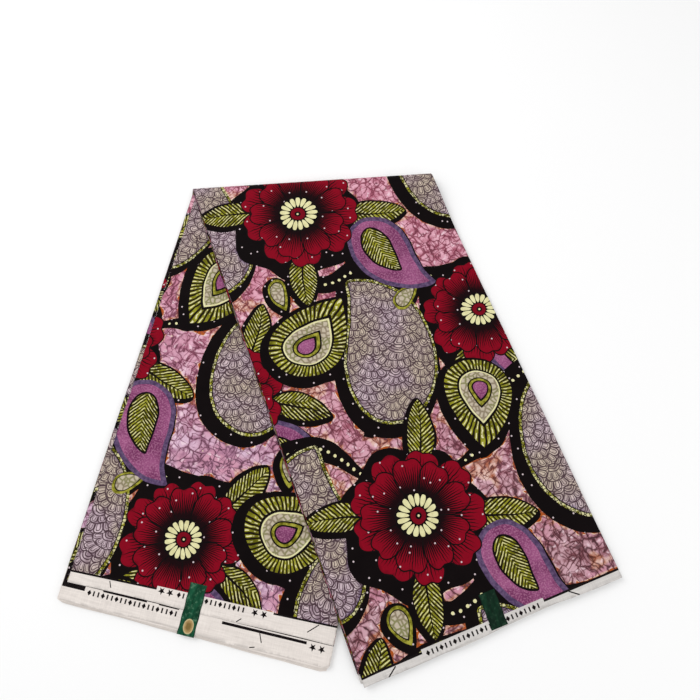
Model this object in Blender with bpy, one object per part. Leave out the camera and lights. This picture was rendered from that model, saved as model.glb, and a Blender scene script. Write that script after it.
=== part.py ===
"""A six yard length of wax printed cotton, fan folded into a strip and laid out in an upside down V.

The cloth is fan folded along its length into seventeen panels, which gives a strip one panel wide and one
cloth width long. The strip is folded once across a slanting line near its middle, so that the front leg
lies over the back leg and both spread towards the viewer. The panels that face up are walls of their own,
one for each leg, and the fifteen between them share one solid whose edges are stepped like layers.

Units are metres. +X runs along the fold, -Y from the fold towards the ends of the legs, and +Z is up.
"""

from math import cos, pi, radians, sin, tan

import bmesh
import bpy

# The cloth and the way it is folded
STRIP = 0.318
PANELS = 17
LAYER = 0.00038
THICK = PANELS * LAYER
SLANT = radians(16.57)

# Walls and clearances
WALL = 0.0010
GAP = 0.0003
PAPER = 0.0006
SLIT = 0.0006
GROOVE = 0.0005

# The fold across the strip: inner radius of its loop, and how far along the leg it holds the front leg up
LOOP = 0.0015
SETTLE = 0.080

# Past the back leg's side the front leg comes down to the surface: where that starts, and over what distance
DROP_START = 0.004
DROP_LENGTH = 0.052

# Long soft waves of the top surfaces
WAVES = (
    {"height": 0.00030, "length": 0.23, "heading": radians(70), "start": 0.4},
    {"height": 0.00022, "length": 0.15, "heading": radians(115), "start": 1.9},
    {"height": 0.00018, "length": 0.31, "heading": radians(20), "start": 3.1},
)
WAVES_START = 0.12

# Reach of each sheet along the legs at its left and right sides, and how far its sides lie inside the strip
BACK_PANEL = {
    "back_left": 0.5545, "back_right": 0.5555, "front_left": 0.0300, "front_right": 0.0300,
    "left": 0.0055, "right": 0.0010,
}
FRONT_PANEL = {
    "back_left": 0.0300, "back_right": 0.0300, "front_left": 0.6000, "front_right": 0.6000,
    "left": 0.0008, "right": 0.0008,
}
HIDDEN_LAYERS = (
    {"share": 0.20, "back_left": 0.5660, "back_right": 0.5690, "front_left": 0.5955, "front_right": 0.5970,
     "left": 0.0000, "right": 0.0014},
    {"share": 0.20, "back_left": 0.5700, "back_right": 0.5745, "front_left": 0.5985, "front_right": 0.5960,
     "left": 0.0012, "right": 0.0004},
    {"share": 0.20, "back_left": 0.5735, "back_right": 0.5790, "front_left": 0.5965, "front_right": 0.5990,
     "left": 0.0002, "right": 0.0016},
    {"share": 0.20, "back_left": 0.5760, "back_right": 0.5820, "front_left": 0.6000, "front_right": 0.5980,
     "left": 0.0014, "right": 0.0006},
    {"share": 0.20, "back_left": 0.5780, "back_right": 0.5840, "front_left": 0.6025, "front_right": 0.6010,
     "left": 0.0004, "right": 0.0012},
)

# Where the two panels end inside the fold, as a share of a quarter turn from the fold's outermost line,
# and the stretch next to each end over which the layers beside it fill the panel's depth
FRONT_PANEL_END = -0.74
FRONT_FILL = (-0.80, -0.90)
BACK_PANEL_END = 0.60
BACK_FILL = (0.68, 0.90)

# Paper labels stuck across the selvedge: centre across the strip, width, and reach along the leg
BACK_LABEL = {"across": -0.0060, "wide": 0.0195, "start": 0.5260, "end": 0.5795}
FRONT_LABEL = {"across": 0.0060, "wide": 0.0195, "start": 0.5595, "end": 0.5955}

# Mesh fineness
COLUMNS = 20
ARC_SHARES = (-1.0, -0.90, -0.80, -0.6, -0.4, -0.2, 0.0, 0.2, 0.4, 0.6, 0.68, 0.90, 1.0)
NEAR_SHARES = (0.02, 0.045, 0.075, 0.105)
FAR_ROWS = 22
LABEL_ROWS = 14
LABEL_COLUMNS = 3

PRINT_COLOUR = (0.30, 0.10, 0.13, 1.0)
WHITE_COLOUR = (0.78, 0.74, 0.70, 1.0)
LABEL_COLOUR = (0.02, 0.13, 0.07, 1.0)


def clear_scene():
    for item in list(bpy.data.objects):
        bpy.data.objects.remove(item, do_unlink=True)


def plain_material(name, colour, roughness):
    material = bpy.data.materials.new(name)
    material.use_nodes = True
    shader = material.node_tree.nodes["Principled BSDF"]
    shader.inputs["Base Color"].default_value = colour
    shader.inputs["Roughness"].default_value = roughness
    shader.inputs["Metallic"].default_value = 0.0
    return material


def eased(value):
    """0 below 0, 1 above 1, and a smooth rise between."""
    held = min(max(value, 0.0), 1.0)
    return held * held * (3 - 2 * held)


def wave(x, y):
    """Height of the soft waves at a place, which die out towards the fold."""
    height = 0.0
    for row in WAVES:
        run = x * cos(row["heading"]) + y * sin(row["heading"])
        height += row["height"] * sin(2 * pi * run / row["length"] + row["start"])
    return height * eased(-y / WAVES_START)


def carried(x, y):
    """Share of the back leg's height that the front leg has under it: 1 over it, 0 on the surface."""
    side_x = STRIP / (2 * cos(SLANT))
    past_side = (x - side_x) * cos(SLANT) - y * sin(SLANT)
    return 1 - eased((past_side - DROP_START) / DROP_LENGTH)


def front_base(x, y):
    """Height of the front leg's underside."""
    held_up = (2 * LOOP - SLIT) * (1 - eased(-y / SETTLE))
    return (THICK + SLIT + wave(x, y) + held_up) * carried(x, y)


def quarter_turn(depth):
    """Length of half the way round the fold, at this depth from the strip's inner face."""
    return pi * (LOOP + depth) / 2


def arc_place(across, share, depth):
    """Point in the fold's bend: share is -1 on the surface, 0 at the outermost line and 1 at the top."""
    radius = LOOP + depth
    angle = share * pi / 2
    x = across / cos(SLANT) + share * quarter_turn(depth) * tan(SLANT)
    return (x, radius * cos(angle), THICK + LOOP + radius * sin(angle))


def leg_place(across, leg, distance, depth):
    """Point on a leg (-1 back, 1 front), at this distance in front of the fold."""
    x = across / cos(SLANT) + leg * (quarter_turn(depth) + distance) * tan(SLANT)
    y = -distance
    swell = 1 + wave(x, y) / THICK
    if leg < 0:
        return (x, y, (THICK - depth) * swell)
    return (x, y, front_base(x, y) + depth * swell)


def leg_end(across, leg, reach):
    """Distance in front of the fold of the sheet's end, which is square to the leg."""
    return reach * cos(SLANT) - leg * across * sin(SLANT)


def leg_stations(leg):
    shares = [*NEAR_SHARES, *(NEAR_SHARES[-1] + (1 - NEAR_SHARES[-1]) * i / FAR_ROWS for i in range(1, FAR_ROWS + 1))]
    return [(leg, share) for share in shares]


def stations_between(first, last):
    """Rows of a sheet from one share of the bend to another; shares past -1 and 1 stand for whole legs."""
    rows = leg_stations(-1)[::-1] if first < -1 else [(0, first)]
    rows += [(0, share) for share in ARC_SHARES if first < share < last]
    return rows + (leg_stations(1) if last > 1 else [(0, last)])


def grid_at(sizes, stations, depth_at, inset):
    """Places of a whole sheet, as rows of points, with its rim moved in by inset."""
    low = -STRIP / 2 + sizes["left"] + inset
    high = STRIP / 2 - sizes["right"] - inset
    rows = []
    for leg, share in stations:
        depth = depth_at(leg, share)
        row = []
        for i in range(COLUMNS + 1):
            across = low + (high - low) * i / COLUMNS
            if leg == 0:
                row.append(arc_place(across, share, depth))
                continue
            side = "back" if leg < 0 else "front"
            left_reach = sizes[side + "_left"]
            reach = left_reach + (sizes[side + "_right"] - left_reach) * i / COLUMNS - inset
            row.append(leg_place(across, leg, share * leg_end(across, leg, reach), depth))
        rows.append(row)
    return rows


def rim_of(rows, columns):
    """Index pairs round the rim of a grid, in order."""
    first = [(0, c) for c in range(columns)]
    right = [(r, columns - 1) for r in range(1, rows)]
    last = [(rows - 1, c) for c in range(columns - 2, -1, -1)]
    left = [(r, 0) for r in range(rows - 2, 0, -1)]
    return first + right + last + left


def solid_from_grids(name, grids, material, collection):
    """One closed solid: the first and last grids are whole faces, and the rims of all join them."""
    shape = bmesh.new()
    rows = len(grids[0])
    columns = len(grids[0][0])
    rim = rim_of(rows, columns)
    faces = []
    for grid in (grids[0], grids[-1]):
        faces.append([[shape.verts.new(place) for place in row] for row in grid])
    for face in faces:
        for r in range(rows - 1):
            for c in range(columns - 1):
                shape.faces.new((face[r][c], face[r][c + 1], face[r + 1][c + 1], face[r + 1][c]))
    rings = [[faces[0][r][c] for r, c in rim]]
    for grid in grids[1:-1]:
        rings.append([shape.verts.new(grid[r][c]) for r, c in rim])
    rings.append([faces[1][r][c] for r, c in rim])
    for ring, following in zip(rings, rings[1:]):
        for i in range(len(rim)):
            j = (i + 1) % len(rim)
            shape.faces.new((ring[i], ring[j], following[j], following[i]))
    bmesh.ops.recalc_face_normals(shape, faces=shape.faces)
    mesh = bpy.data.meshes.new(name)
    shape.to_mesh(mesh)
    shape.free()
    mesh.shade_smooth()
    mesh.set_sharp_from_angle(angle=radians(35))
    mesh.materials.append(material)
    item = bpy.data.objects.new(name, mesh)
    collection.objects.link(item)
    return item


def panel(name, sizes, stations, low, material, collection):
    """A single wall of cloth between two depths, with a rounded rim."""
    bulge = WALL / 4
    levels = ((low, bulge), (low + WALL / 2, 0.0), (low + WALL, bulge))
    grids = [grid_at(sizes, stations, lambda leg, share, d=depth: d, inset) for depth, inset in levels]
    return solid_from_grids(name, grids, material, collection)


def inner_limit(leg, share):
    """Depth of the hidden layers' inner face: under the back panel, and at the strip's face past its end."""
    if leg < 0:
        return WALL + GAP
    if leg > 0:
        return 0.0
    start, end = BACK_FILL
    return (WALL + GAP) * (1 - min(max((share - start) / (end - start), 0.0), 1.0))


def outer_limit(leg, share):
    """Depth of the hidden layers' outer face: on the surface, and under the front panel."""
    if leg < 0:
        return THICK
    if leg > 0:
        return THICK - WALL - GAP
    start, end = FRONT_FILL
    return THICK - (WALL + GAP) * (1 - min(max((share - start) / (end - start), 0.0), 1.0))


def hidden_layers(material, collection):
    """The hidden panels: bands of layers with a groove between each two, stepped at the ends."""
    stations = stations_between(-2, 2)
    grids = []
    passed = 0.0
    last = len(HIDDEN_LAYERS) - 1
    for i, row in enumerate(HIDDEN_LAYERS):
        places = (0.0 if i == 0 else 0.05, 0.5, 1.0 if i == last else 0.95)
        for place, inset in zip(places, (GROOVE, 0.0, GROOVE)):
            share_of_all = passed + place * row["share"]

            def depth_at(leg, share, part=share_of_all):
                low = inner_limit(leg, share)
                return low + (outer_limit(leg, share) - low) * part

            grids.append(grid_at(row, stations, depth_at, inset))
        passed += row["share"]
    return solid_from_grids("hidden_layers", grids, material, collection)


def back_corners(across):
    """Reach and depth of each upper edge that a label on the back leg rests on."""
    share = across / STRIP + 0.5
    corners = [(BACK_LABEL["start"], 0.0)]
    corners.append((BACK_PANEL["back_left"] + (BACK_PANEL["back_right"] - BACK_PANEL["back_left"]) * share, 0.0))
    passed = 0.0
    for row in HIDDEN_LAYERS:
        reach = row["back_left"] + (row["back_right"] - row["back_left"]) * share
        corners.append((reach, WALL + GAP + (THICK - WALL - GAP) * passed))
        passed += row["share"]
    return corners


def rest_depth(reach, corners):
    """Depth of a strip of paper pulled straight over the corners."""
    best = THICK
    for i, (near, near_depth) in enumerate(corners):
        for far, far_depth in corners[i + 1:]:
            if near <= reach <= far:
                best = min(best, near_depth + (far_depth - near_depth) * (reach - near) / (far - near))
    return best


def label(name, leg, sizes, material, collection):
    """A strip of paper along the leg that follows the cloth under it."""
    grids = []
    for lift in (GAP, GAP + PAPER):
        rows = []
        for r in range(LABEL_ROWS + 1):
            reach = sizes["start"] + (sizes["end"] - sizes["start"]) * r / LABEL_ROWS
            row = []
            for c in range(LABEL_COLUMNS + 1):
                across = sizes["across"] + sizes["wide"] * (c / LABEL_COLUMNS - 0.5)
                depth = rest_depth(reach, back_corners(across)) if leg < 0 else THICK
                x, y, z = leg_place(across, leg, leg_end(across, leg, reach), depth)
                row.append((x, y, z + lift))
            rows.append(row)
        grids.append(rows)
    return solid_from_grids(name, grids, material, collection)


def centre_on_base(collection):
    """Moves everything so that the origin is under the middle of the object, on the surface it lies on."""
    places = [vertex.co for item in collection.objects for vertex in item.data.vertices]
    middle_x = (min(p.x for p in places) + max(p.x for p in places)) / 2
    middle_y = (min(p.y for p in places) + max(p.y for p in places)) / 2
    lowest = min(p.z for p in places)
    for place in places:
        place.x -= middle_x
        place.y -= middle_y
        place.z -= lowest
    return middle_x, middle_y, lowest


def main():
    clear_scene()
    collection = bpy.data.collections.new("folded_wax_print")
    bpy.context.scene.collection.children.link(collection)
    print_cloth = plain_material("printed_cotton", PRINT_COLOUR, 0.75)
    layer_cloth = plain_material("layer_edges", WHITE_COLOUR, 0.8)
    paper = plain_material("label_paper", LABEL_COLOUR, 0.45)

    hidden_layers(layer_cloth, collection)
    panel("back_panel", BACK_PANEL, stations_between(-2, BACK_PANEL_END), 0.0, print_cloth, collection)
    front_stations = stations_between(FRONT_PANEL_END, 2)
    panel("front_panel", FRONT_PANEL, front_stations, THICK - WALL, print_cloth, collection)
    label("back_label", -1, BACK_LABEL, paper, collection)
    label("front_label", 1, FRONT_LABEL, paper, collection)
    for item in collection.objects:
        print(item.name, sum(len(face.vertices) - 2 for face in item.data.polygons), "triangles")
    print("moved by", centre_on_base(collection))


main()
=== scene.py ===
# %% [markdown]
# # A folded length of wax printed cotton
#
# The object is a six yard cloth. It is fan folded into a long strip, and the strip is folded once on a slant
# and laid down, so that its two legs spread like an upside down V. Each leg shows one printed panel on top,
# the white selvedge at its end, and the edges of the many panels below.
#
# The lesson has four parts: the folded shape, the print as a drawing, the colours of the print as materials,
# and the pieces themselves, with the light and the camera at the end.

# %% Load the frame
import random
from math import cos, exp, pi, radians, sin, tan

import bpy
import numpy as np
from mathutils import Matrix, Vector
from mathutils.geometry import delaunay_2d_cdt


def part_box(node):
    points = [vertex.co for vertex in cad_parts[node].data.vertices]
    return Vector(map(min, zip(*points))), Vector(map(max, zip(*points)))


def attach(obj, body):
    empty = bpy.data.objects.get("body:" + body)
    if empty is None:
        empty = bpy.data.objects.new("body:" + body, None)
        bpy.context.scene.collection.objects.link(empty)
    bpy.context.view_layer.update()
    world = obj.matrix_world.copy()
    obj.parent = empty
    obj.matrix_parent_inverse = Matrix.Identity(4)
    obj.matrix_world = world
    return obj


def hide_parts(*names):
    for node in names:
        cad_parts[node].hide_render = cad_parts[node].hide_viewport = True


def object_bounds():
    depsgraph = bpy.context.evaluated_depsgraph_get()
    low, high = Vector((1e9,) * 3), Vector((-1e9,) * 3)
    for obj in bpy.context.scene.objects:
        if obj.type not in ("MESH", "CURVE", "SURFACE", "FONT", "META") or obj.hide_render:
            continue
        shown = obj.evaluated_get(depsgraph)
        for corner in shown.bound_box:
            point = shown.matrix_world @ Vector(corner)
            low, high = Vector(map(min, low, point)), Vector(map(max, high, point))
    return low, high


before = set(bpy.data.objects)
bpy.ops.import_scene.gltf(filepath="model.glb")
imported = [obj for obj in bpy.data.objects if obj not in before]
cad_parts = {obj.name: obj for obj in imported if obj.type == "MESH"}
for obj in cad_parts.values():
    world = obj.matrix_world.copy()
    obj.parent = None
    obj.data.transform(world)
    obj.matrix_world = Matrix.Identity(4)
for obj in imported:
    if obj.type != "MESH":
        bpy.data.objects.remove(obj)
cad_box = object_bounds()
bpy.ops.object.select_all(action="DESELECT")
print("nodes", sorted(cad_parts), "box", [[round(v, 4) for v in corner] for corner in cad_box])

# %% [markdown]
# ## The folded shape
#
# Every layer of the stack has the same shape, only at another depth. So one function places a point of the
# cloth in space, from its place across the strip, its reach along the leg, and its depth below the strip's
# inner face, the one that the two legs turn to each other. All pieces are made with it, which is why they lie
# on each other with no fitting. The sizes are those that the frame was built with, in metres.

# %% Sizes of the fold
STRIP = 0.318  # width of the folded strip
FRONT_SIDE = STRIP / 2 - 0.0008  # how far across the front leg's top panel reaches
FRONT_LENGTH = 0.600
PANELS = 17
LAYER = 0.00038  # height that one panel takes up in the stack
THICK = PANELS * LAYER
SLANT = radians(16.57)  # of the fold line
LOOP = 0.0015  # radius inside the fold
SLIT = 0.0006  # gap between the legs, past the fold
SETTLE = 0.080  # length over which the gap closes to that
DROP_START = 0.004  # where the front leg starts to sink to the floor, past the back leg's side
DROP_LENGTH = 0.052
SIDE_ROUND = 0.0035  # width of the stack's soft long sides
SIDE_DROP = 0.0006
WALL = 0.0010  # of the frame's top panels
CLOTH = 0.0003  # of the cotton itself
BACK, BEND, FRONT = -1, 0, 1
print("a leg is", round(1000 * THICK, 2), "mm thick")

# %% [markdown]
# The top panels aren't flat. They lie in soft waves over the whole leg, and cotton that has been folded and
# carried about keeps a few creases. A wave or a crease is a row in a table: which way it runs, how long and
# high it is, and for a crease where it lies and how wide it is.

# %% Waves and creases
WAVES_START = 0.12
WAVES = (
    {"height": 0.00030, "length": 0.23, "heading": radians(70), "start": 0.4},
    {"height": 0.00022, "length": 0.15, "heading": radians(115), "start": 1.9},
    {"height": 0.00018, "length": 0.31, "heading": radians(20), "start": 3.1},
)
CREASES = (
    {"x": 0.060, "y": -0.170, "heading": radians(-62), "length": 0.20, "width": 0.0050, "height": 0.00045},
    {"x": 0.155, "y": -0.330, "heading": radians(-80), "length": 0.26, "width": 0.0065, "height": -0.00040},
    {"x": 0.020, "y": -0.395, "heading": radians(14), "length": 0.17, "width": 0.0045, "height": 0.00040},
    {"x": 0.215, "y": -0.455, "heading": radians(22), "length": 0.14, "width": 0.0060, "height": 0.00045},
    {"x": 0.110, "y": -0.520, "heading": radians(-68), "length": 0.13, "width": 0.0050, "height": -0.00045},
    {"x": -0.165, "y": -0.290, "heading": radians(-110), "length": 0.19, "width": 0.0055, "height": 0.00045},
    {"x": -0.120, "y": -0.420, "heading": radians(-18), "length": 0.16, "width": 0.0050, "height": 0.00040},
    {"x": -0.215, "y": -0.455, "heading": radians(-100), "length": 0.12, "width": 0.0045, "height": -0.00035},
)


def eased(value):
    """0 below 0, 1 above 1, and a smooth rise between."""
    held = min(max(value, 0.0), 1.0)
    return held * held * (3 - 2 * held)


def wave(x, y):
    """Height of the soft waves of the top surfaces, which die out towards the fold."""
    height = 0.0
    for row in WAVES:
        run = x * cos(row["heading"]) + y * sin(row["heading"])
        height += row["height"] * sin(2 * pi * run / row["length"] + row["start"])
    return height * eased(-y / WAVES_START)


def crease(x, y):
    """Height of the creases at a place. Each is slightly bowed and fades towards its ends."""
    height = 0.0
    for row in CREASES:
        along = (x - row["x"]) * cos(row["heading"]) + (y - row["y"]) * sin(row["heading"])
        if abs(along) > row["length"]:
            continue
        bow = 0.12 * along * along / row["length"]
        across = (y - row["y"]) * cos(row["heading"]) - (x - row["x"]) * sin(row["heading"]) - bow
        if abs(across) < 4 * row["width"]:
            height += row["height"] * exp(-(across / row["width"]) ** 2 - (1.6 * along / row["length"]) ** 2)
    return height


print(len(WAVES), "waves and", len(CREASES), "creases")


# %% Places on the folded strip
def side_drop(across):
    """How far the topmost layers sink at the strip's long sides, where the stack is soft."""
    return SIDE_DROP * eased((abs(across) - STRIP / 2 + SIDE_ROUND) / SIDE_ROUND) ** 2


def carried(x, y):
    """Share of the back leg's height that the front leg has under it."""
    side_x = STRIP / (2 * cos(SLANT))
    past_side = (x - side_x) * cos(SLANT) - y * sin(SLANT)
    return 1 - eased((past_side - DROP_START) / DROP_LENGTH)


def front_base(x, y):
    """Height of the front leg's underside."""
    held_up = (2 * LOOP - SLIT) * (1 - eased(-y / SETTLE))
    return (THICK + SLIT + wave(x, y) + held_up) * carried(x, y)


def quarter_turn(depth):
    """Length of half the way round the fold, at this depth from the strip's inner face."""
    return pi * (LOOP + depth) / 2


def in_front(leg, across, reach):
    """Distance in front of the fold line of a place on the strip."""
    return reach * cos(SLANT) - leg * across * sin(SLANT)


def reach_at(leg, across, distance):
    """Reach along the leg of a place at this distance in front of the fold line."""
    return (distance + leg * across * sin(SLANT)) / cos(SLANT)


def on_strip(leg, across, reach, depth):
    """Place in space of a point of the folded strip, measured from the middle of the fold."""
    distance = in_front(leg, across, reach)
    turn = quarter_turn(depth)
    if distance < 0:
        share = leg * (1 + distance / turn)
        radius = LOOP + depth
        angle = share * pi / 2
        x = across / cos(SLANT) + share * turn * tan(SLANT)
        return (x, radius * cos(angle), THICK + LOOP + radius * sin(angle))
    x = across / cos(SLANT) + leg * (turn + distance) * tan(SLANT)
    y = -distance
    base = front_base(x, y) if leg == FRONT else 0.0
    height = depth if leg == FRONT else THICK - depth
    swell = 1 + wave(x, y) / THICK
    return (x, y, base + height * swell + (crease(x, y) - side_drop(across)) * (height / THICK) ** 3)


front_corner = on_strip(FRONT, FRONT_SIDE, FRONT_LENGTH, THICK - WALL / 2)
ORIGIN = Vector((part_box("front_panel")[1][0] - front_corner[0], cad_box[1][1] - LOOP - THICK, 0.0))
print("the middle of the fold is at", [round(v, 4) for v in ORIGIN])


def in_frame(leg, across, reach, depth):
    """The same place, measured from the frame's origin."""
    x, y, z = on_strip(leg, across, reach, depth)
    return (x + ORIGIN.x, y + ORIGIN.y, z)


# %% [markdown]
# ## The print as a drawing
#
# A wax print is a few flat colours with crisp edges, so it is drawn like a paper cut-out: a list of closed
# outlines, each with an ink, where the last one laid down covers those below. The cloth's mesh is then cut
# along these outlines, so that every edge of the print stays sharp however close the camera comes.
#
# A point of the drawing is one complex number, because turning and moving a motif is then one product and
# one sum. Blades and commas are the two curves that all leaves, drops and petals are cut from.

# %% Blades, commas and discs
def crowded(steps):
    """Shares from 0 to 1 that stand closer together at both ends."""
    return (1 - np.cos(np.linspace(0, pi, steps))) / 2


def half_widths(share, width, start, end):
    """Half the width at each share of the length. A small start or end is round, a large one pointed."""
    peak = start / (start + end)
    return width / 2 * share ** start * (1 - share) ** end / (peak ** start * (1 - peak) ** end)


def blade(length, width, start, end, bend=0.0, steps=26, notch=0.0):
    """A closed outline from 0 to length up the Y axis, which may bend sideways and have a notched tip."""
    share = crowded(steps)
    half = half_widths(share, width, start, end)
    middle = bend * length * share ** 2 + 1j * share * length
    outline = np.concatenate([middle + half, (middle - half)[-2:0:-1]])
    dent = np.exp(-((outline.real / (0.17 * width)) ** 2)) * (outline.imag / length) ** 6
    return outline - 1j * notch * length * dent


def comma(length, width, start, end, curl, steps=34):
    """A closed outline of a drop whose pointed end curls to one side, by an angle."""
    share = crowded(steps)
    heading = 1j * np.exp(-1j * curl * share ** 2)
    middle = length * np.cumsum(heading * np.diff(share, prepend=0.0))
    side = 1j * heading * half_widths(share, width, start, end)
    return np.concatenate([middle - side, (middle + side)[-2:0:-1]])


def disc(radius, steps=40, lobes=0, depth=0.0):
    """A circle, or a round outline with soft lobes."""
    angle = np.linspace(0, 2 * pi, steps, endpoint=False)
    return radius * (1 + depth * np.cos(lobes * angle)) * np.exp(1j * angle)


print("a blade has", len(blade(1.0, 0.5, 0.7, 0.8)), "points, a comma", len(comma(1.0, 0.5, 0.5, 1.0, 1.2)))


# %% Grown outlines and ribbons
def turned_left(outline):
    """The outline in the order that keeps its inside on the left."""
    following = np.roll(outline, -1)
    area = np.sum(outline.real * following.imag - following.real * outline.imag)
    return outline if area > 0 else outline[::-1]


def grown(outline, distance):
    """The outline moved out by a distance."""
    outline = turned_left(outline)
    heading = np.roll(outline, -1) - np.roll(outline, 1)
    return outline - 1j * distance * heading / np.maximum(np.abs(heading), 1e-9)


def passed_along(middle):
    """The length of a line up to each of its points."""
    return np.concatenate([[0.0], np.cumsum(np.abs(np.diff(middle)))])


def ribbon(points, widths, steps=14):
    """A band along a smooth curve through the points, with a width at each, and its middle line."""
    middle, half = [], []
    line = [2 * points[0] - points[1], *points, 2 * points[-1] - points[-2]]
    sizes = [widths[0], *widths, widths[-1]]
    for i in range(1, len(line) - 2):
        for t in np.arange(steps) / steps:
            pull = (-t + 2 * t ** 2 - t ** 3, 2 - 5 * t ** 2 + 3 * t ** 3,
                    t + 4 * t ** 2 - 3 * t ** 3, t ** 3 - t ** 2)
            middle.append(sum(p * q for p, q in zip(pull, line[i - 1:i + 3])) / 2)
            half.append((sizes[i] + (sizes[i + 1] - sizes[i]) * eased(t)) / 2)
    middle.append(points[-1])
    half.append(widths[-1] / 2)
    middle = np.array(middle)
    heading = np.gradient(middle)
    side = 1j * heading / np.abs(heading) * np.array(half)
    return np.concatenate([middle + side, (middle - side)[::-1]]), middle


SHORT_VINE = ((0j, 0.05j, 0.1j), (0.01, 0.03, 0.01))
print("a ribbon through three points has", len(ribbon(*SHORT_VINE)[0]), "points")

# %% [markdown]
# A motif is drawn in its own place and then laid on the cloth. Each of its shapes remembers how to get back
# to the motif's own coordinates, because the inks need them: the veins of a leaf run along its midrib. The
# outlines are laid by hand, so nothing is quite straight or round, and no two flowers are quite the same.

# %% Laying shapes on the cloth
SLOW_SLIP = 0.0012
QUICK_SLIP = 0.0003


def by_hand(places):
    """The places, with the small slips of the hand that cut the printing block."""
    slow = np.sin(61 * places.real + 23 * places.imag) + 1j * np.sin(57 * places.imag - 31 * places.real)
    quick = np.sin(233 * places.imag + 97 * places.real) + 1j * np.sin(251 * places.real - 83 * places.imag)
    return places + SLOW_SLIP * slow + QUICK_SLIP * quick


class Drawing:
    """A stack of inked shapes on a flat piece of cloth."""

    def __init__(self):
        self.shapes = []

    def lay(self, outline, ink, at=0j, turn=0.0, unit=1.0, ruled=False):
        """Adds a shape at a place, turned. unit is the size of one of its own units, for the inks."""
        spin = np.exp(1j * turn)
        outline = at + outline * spin
        outline = turned_left(outline if ruled else by_hand(outline))
        self.shapes.append({"outline": outline, "ink": ink, "at": at, "spin": spin, "unit": unit})

    def lay_along(self, outline, ink, middle):
        """Adds a shape whose own coordinates run along a middle line."""
        self.shapes.append({"outline": turned_left(by_hand(outline)), "ink": ink, "middle": middle})


def own_coordinates(shape, places):
    """The places, as complex numbers, in the coordinates of the shape that covers them."""
    if "middle" not in shape:
        return (places - shape["at"]) / shape["spin"] / shape["unit"]
    middle = shape["middle"]
    nearest = np.argmin(np.abs(places[:, None] - middle[None, :]), axis=1)
    heading = np.gradient(middle)[nearest]
    offset = (places - middle[nearest]) / (heading / np.abs(heading))
    return offset.imag + 1j * (passed_along(middle)[nearest] + offset.real)


def shapes_in(draw, *settings):
    """How many shapes a drawing function lays."""
    drawing = Drawing()
    draw(drawing, *settings)
    return len(drawing.shapes)


print("the hand slips by up to", round(1000 * 2 ** 0.5 * (SLOW_SLIP + QUICK_SLIP), 1), "mm")

# %% [markdown]
# ### The motifs
#
# The print is a generic one: many petalled rosettes, feather eyes, bent leaves, paisley drops and large
# drops filled with scales, on a crackled ground that dark vines run through. The sizes are those of a real
# wax print, where one flower is as wide as a hand. Each motif stands on a dark halo, which is laid first, so
# that the halos of neighbours run together into the black that ties the print.

# %% Forms and halos
OUTLINE = 0.0015
HALO = 0.0072
SHADOW = -0.0050 + 0.0042j

FORMS = {
    "scale drop": {"curve": comma, "width": 0.56, "start": 0.52, "end": 0.86, "halo": 1.8, "shadow": 1.6},
    "paisley": {"curve": comma, "width": 0.54, "start": 0.50, "end": 1.00, "halo": 1.0, "shadow": 1.0},
    "feather": {"curve": blade, "width": 0.76, "start": 0.95, "end": 0.50, "halo": 1.2, "shadow": 1.0},
    "leaf": {"curve": blade, "width": 0.44, "start": 0.70, "end": 0.80, "halo": 0.7, "shadow": 0.5},
    "seed": {"curve": blade, "width": 0.56, "start": 0.90, "end": 0.50, "halo": 0.8, "shadow": 0.5},
}


def form(kind, size, bend):
    """The outline of a motif's body."""
    row = FORMS[kind]
    return row["curve"](size, size * row["width"], row["start"], row["end"], bend)


def halo(kind, drawing, at, size, turn, bend):
    """The dark ground under a motif: its body grown a little, and shifted like a shadow."""
    row = FORMS[kind]
    outline = grown(form(kind, size, bend), HALO * row["halo"])
    drawing.lay(outline, "dark ground", at + row["shadow"] * SHADOW, turn)


def toward(heading, distance):
    """A step of a distance in a heading, in degrees from the cloth's width towards its length."""
    return distance * np.exp(1j * radians(heading))


print("forms:", ", ".join(FORMS))

# %% Rosettes
PETALS = 9
RAYS = 17


def rosette_halo(drawing, at, size, turn):
    """A dark blot with soft lobes."""
    drawing.lay(disc(size * 1.17, 80, 7, 0.060), "dark ground", at + 1.4 * SHADOW, turn)


def rosette(drawing, at, size, turn):
    """A double ring of notched petals round a beaded centre."""
    hand = random.Random(round(1000 * size))
    for tier, (length, width) in enumerate(((0.86, 0.54), (0.68, 0.45))):
        for i in range(PETALS):
            heading = turn + 2 * pi * (i + tier / 2) / PETALS + hand.uniform(-0.05, 0.05)
            foot = at + np.exp(1j * heading) * size * 0.20 * 1j
            long = size * length * hand.uniform(0.93, 1.05)
            petal = blade(long, size * width * hand.uniform(0.94, 1.08), 0.85, 0.40, notch=0.07)
            drawing.lay(grown(petal, OUTLINE), "outline", foot, heading)
            drawing.lay(petal, "crimson petal", foot, heading, long)
    drawing.lay(disc(size * 0.37, 48, 13, 0.03), "outline", at, turn)
    for i in range(RAYS):
        heading = turn + 2 * pi * i / RAYS
        ray = blade(size * 0.190, size * 0.082, 0.60, 0.32, steps=10)
        drawing.lay(ray, "cream", at + np.exp(1j * heading) * size * 0.150j, heading)
    for radius, steps, ink in ((0.130, 30, "crimson plain"), (0.055, 24, "outline"), (0.020, 12, "cream")):
        drawing.lay(disc(size * radius, steps), ink, at, turn)


print("a rosette has", shapes_in(rosette, 0j, 0.074, 0.0), "shapes")


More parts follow.
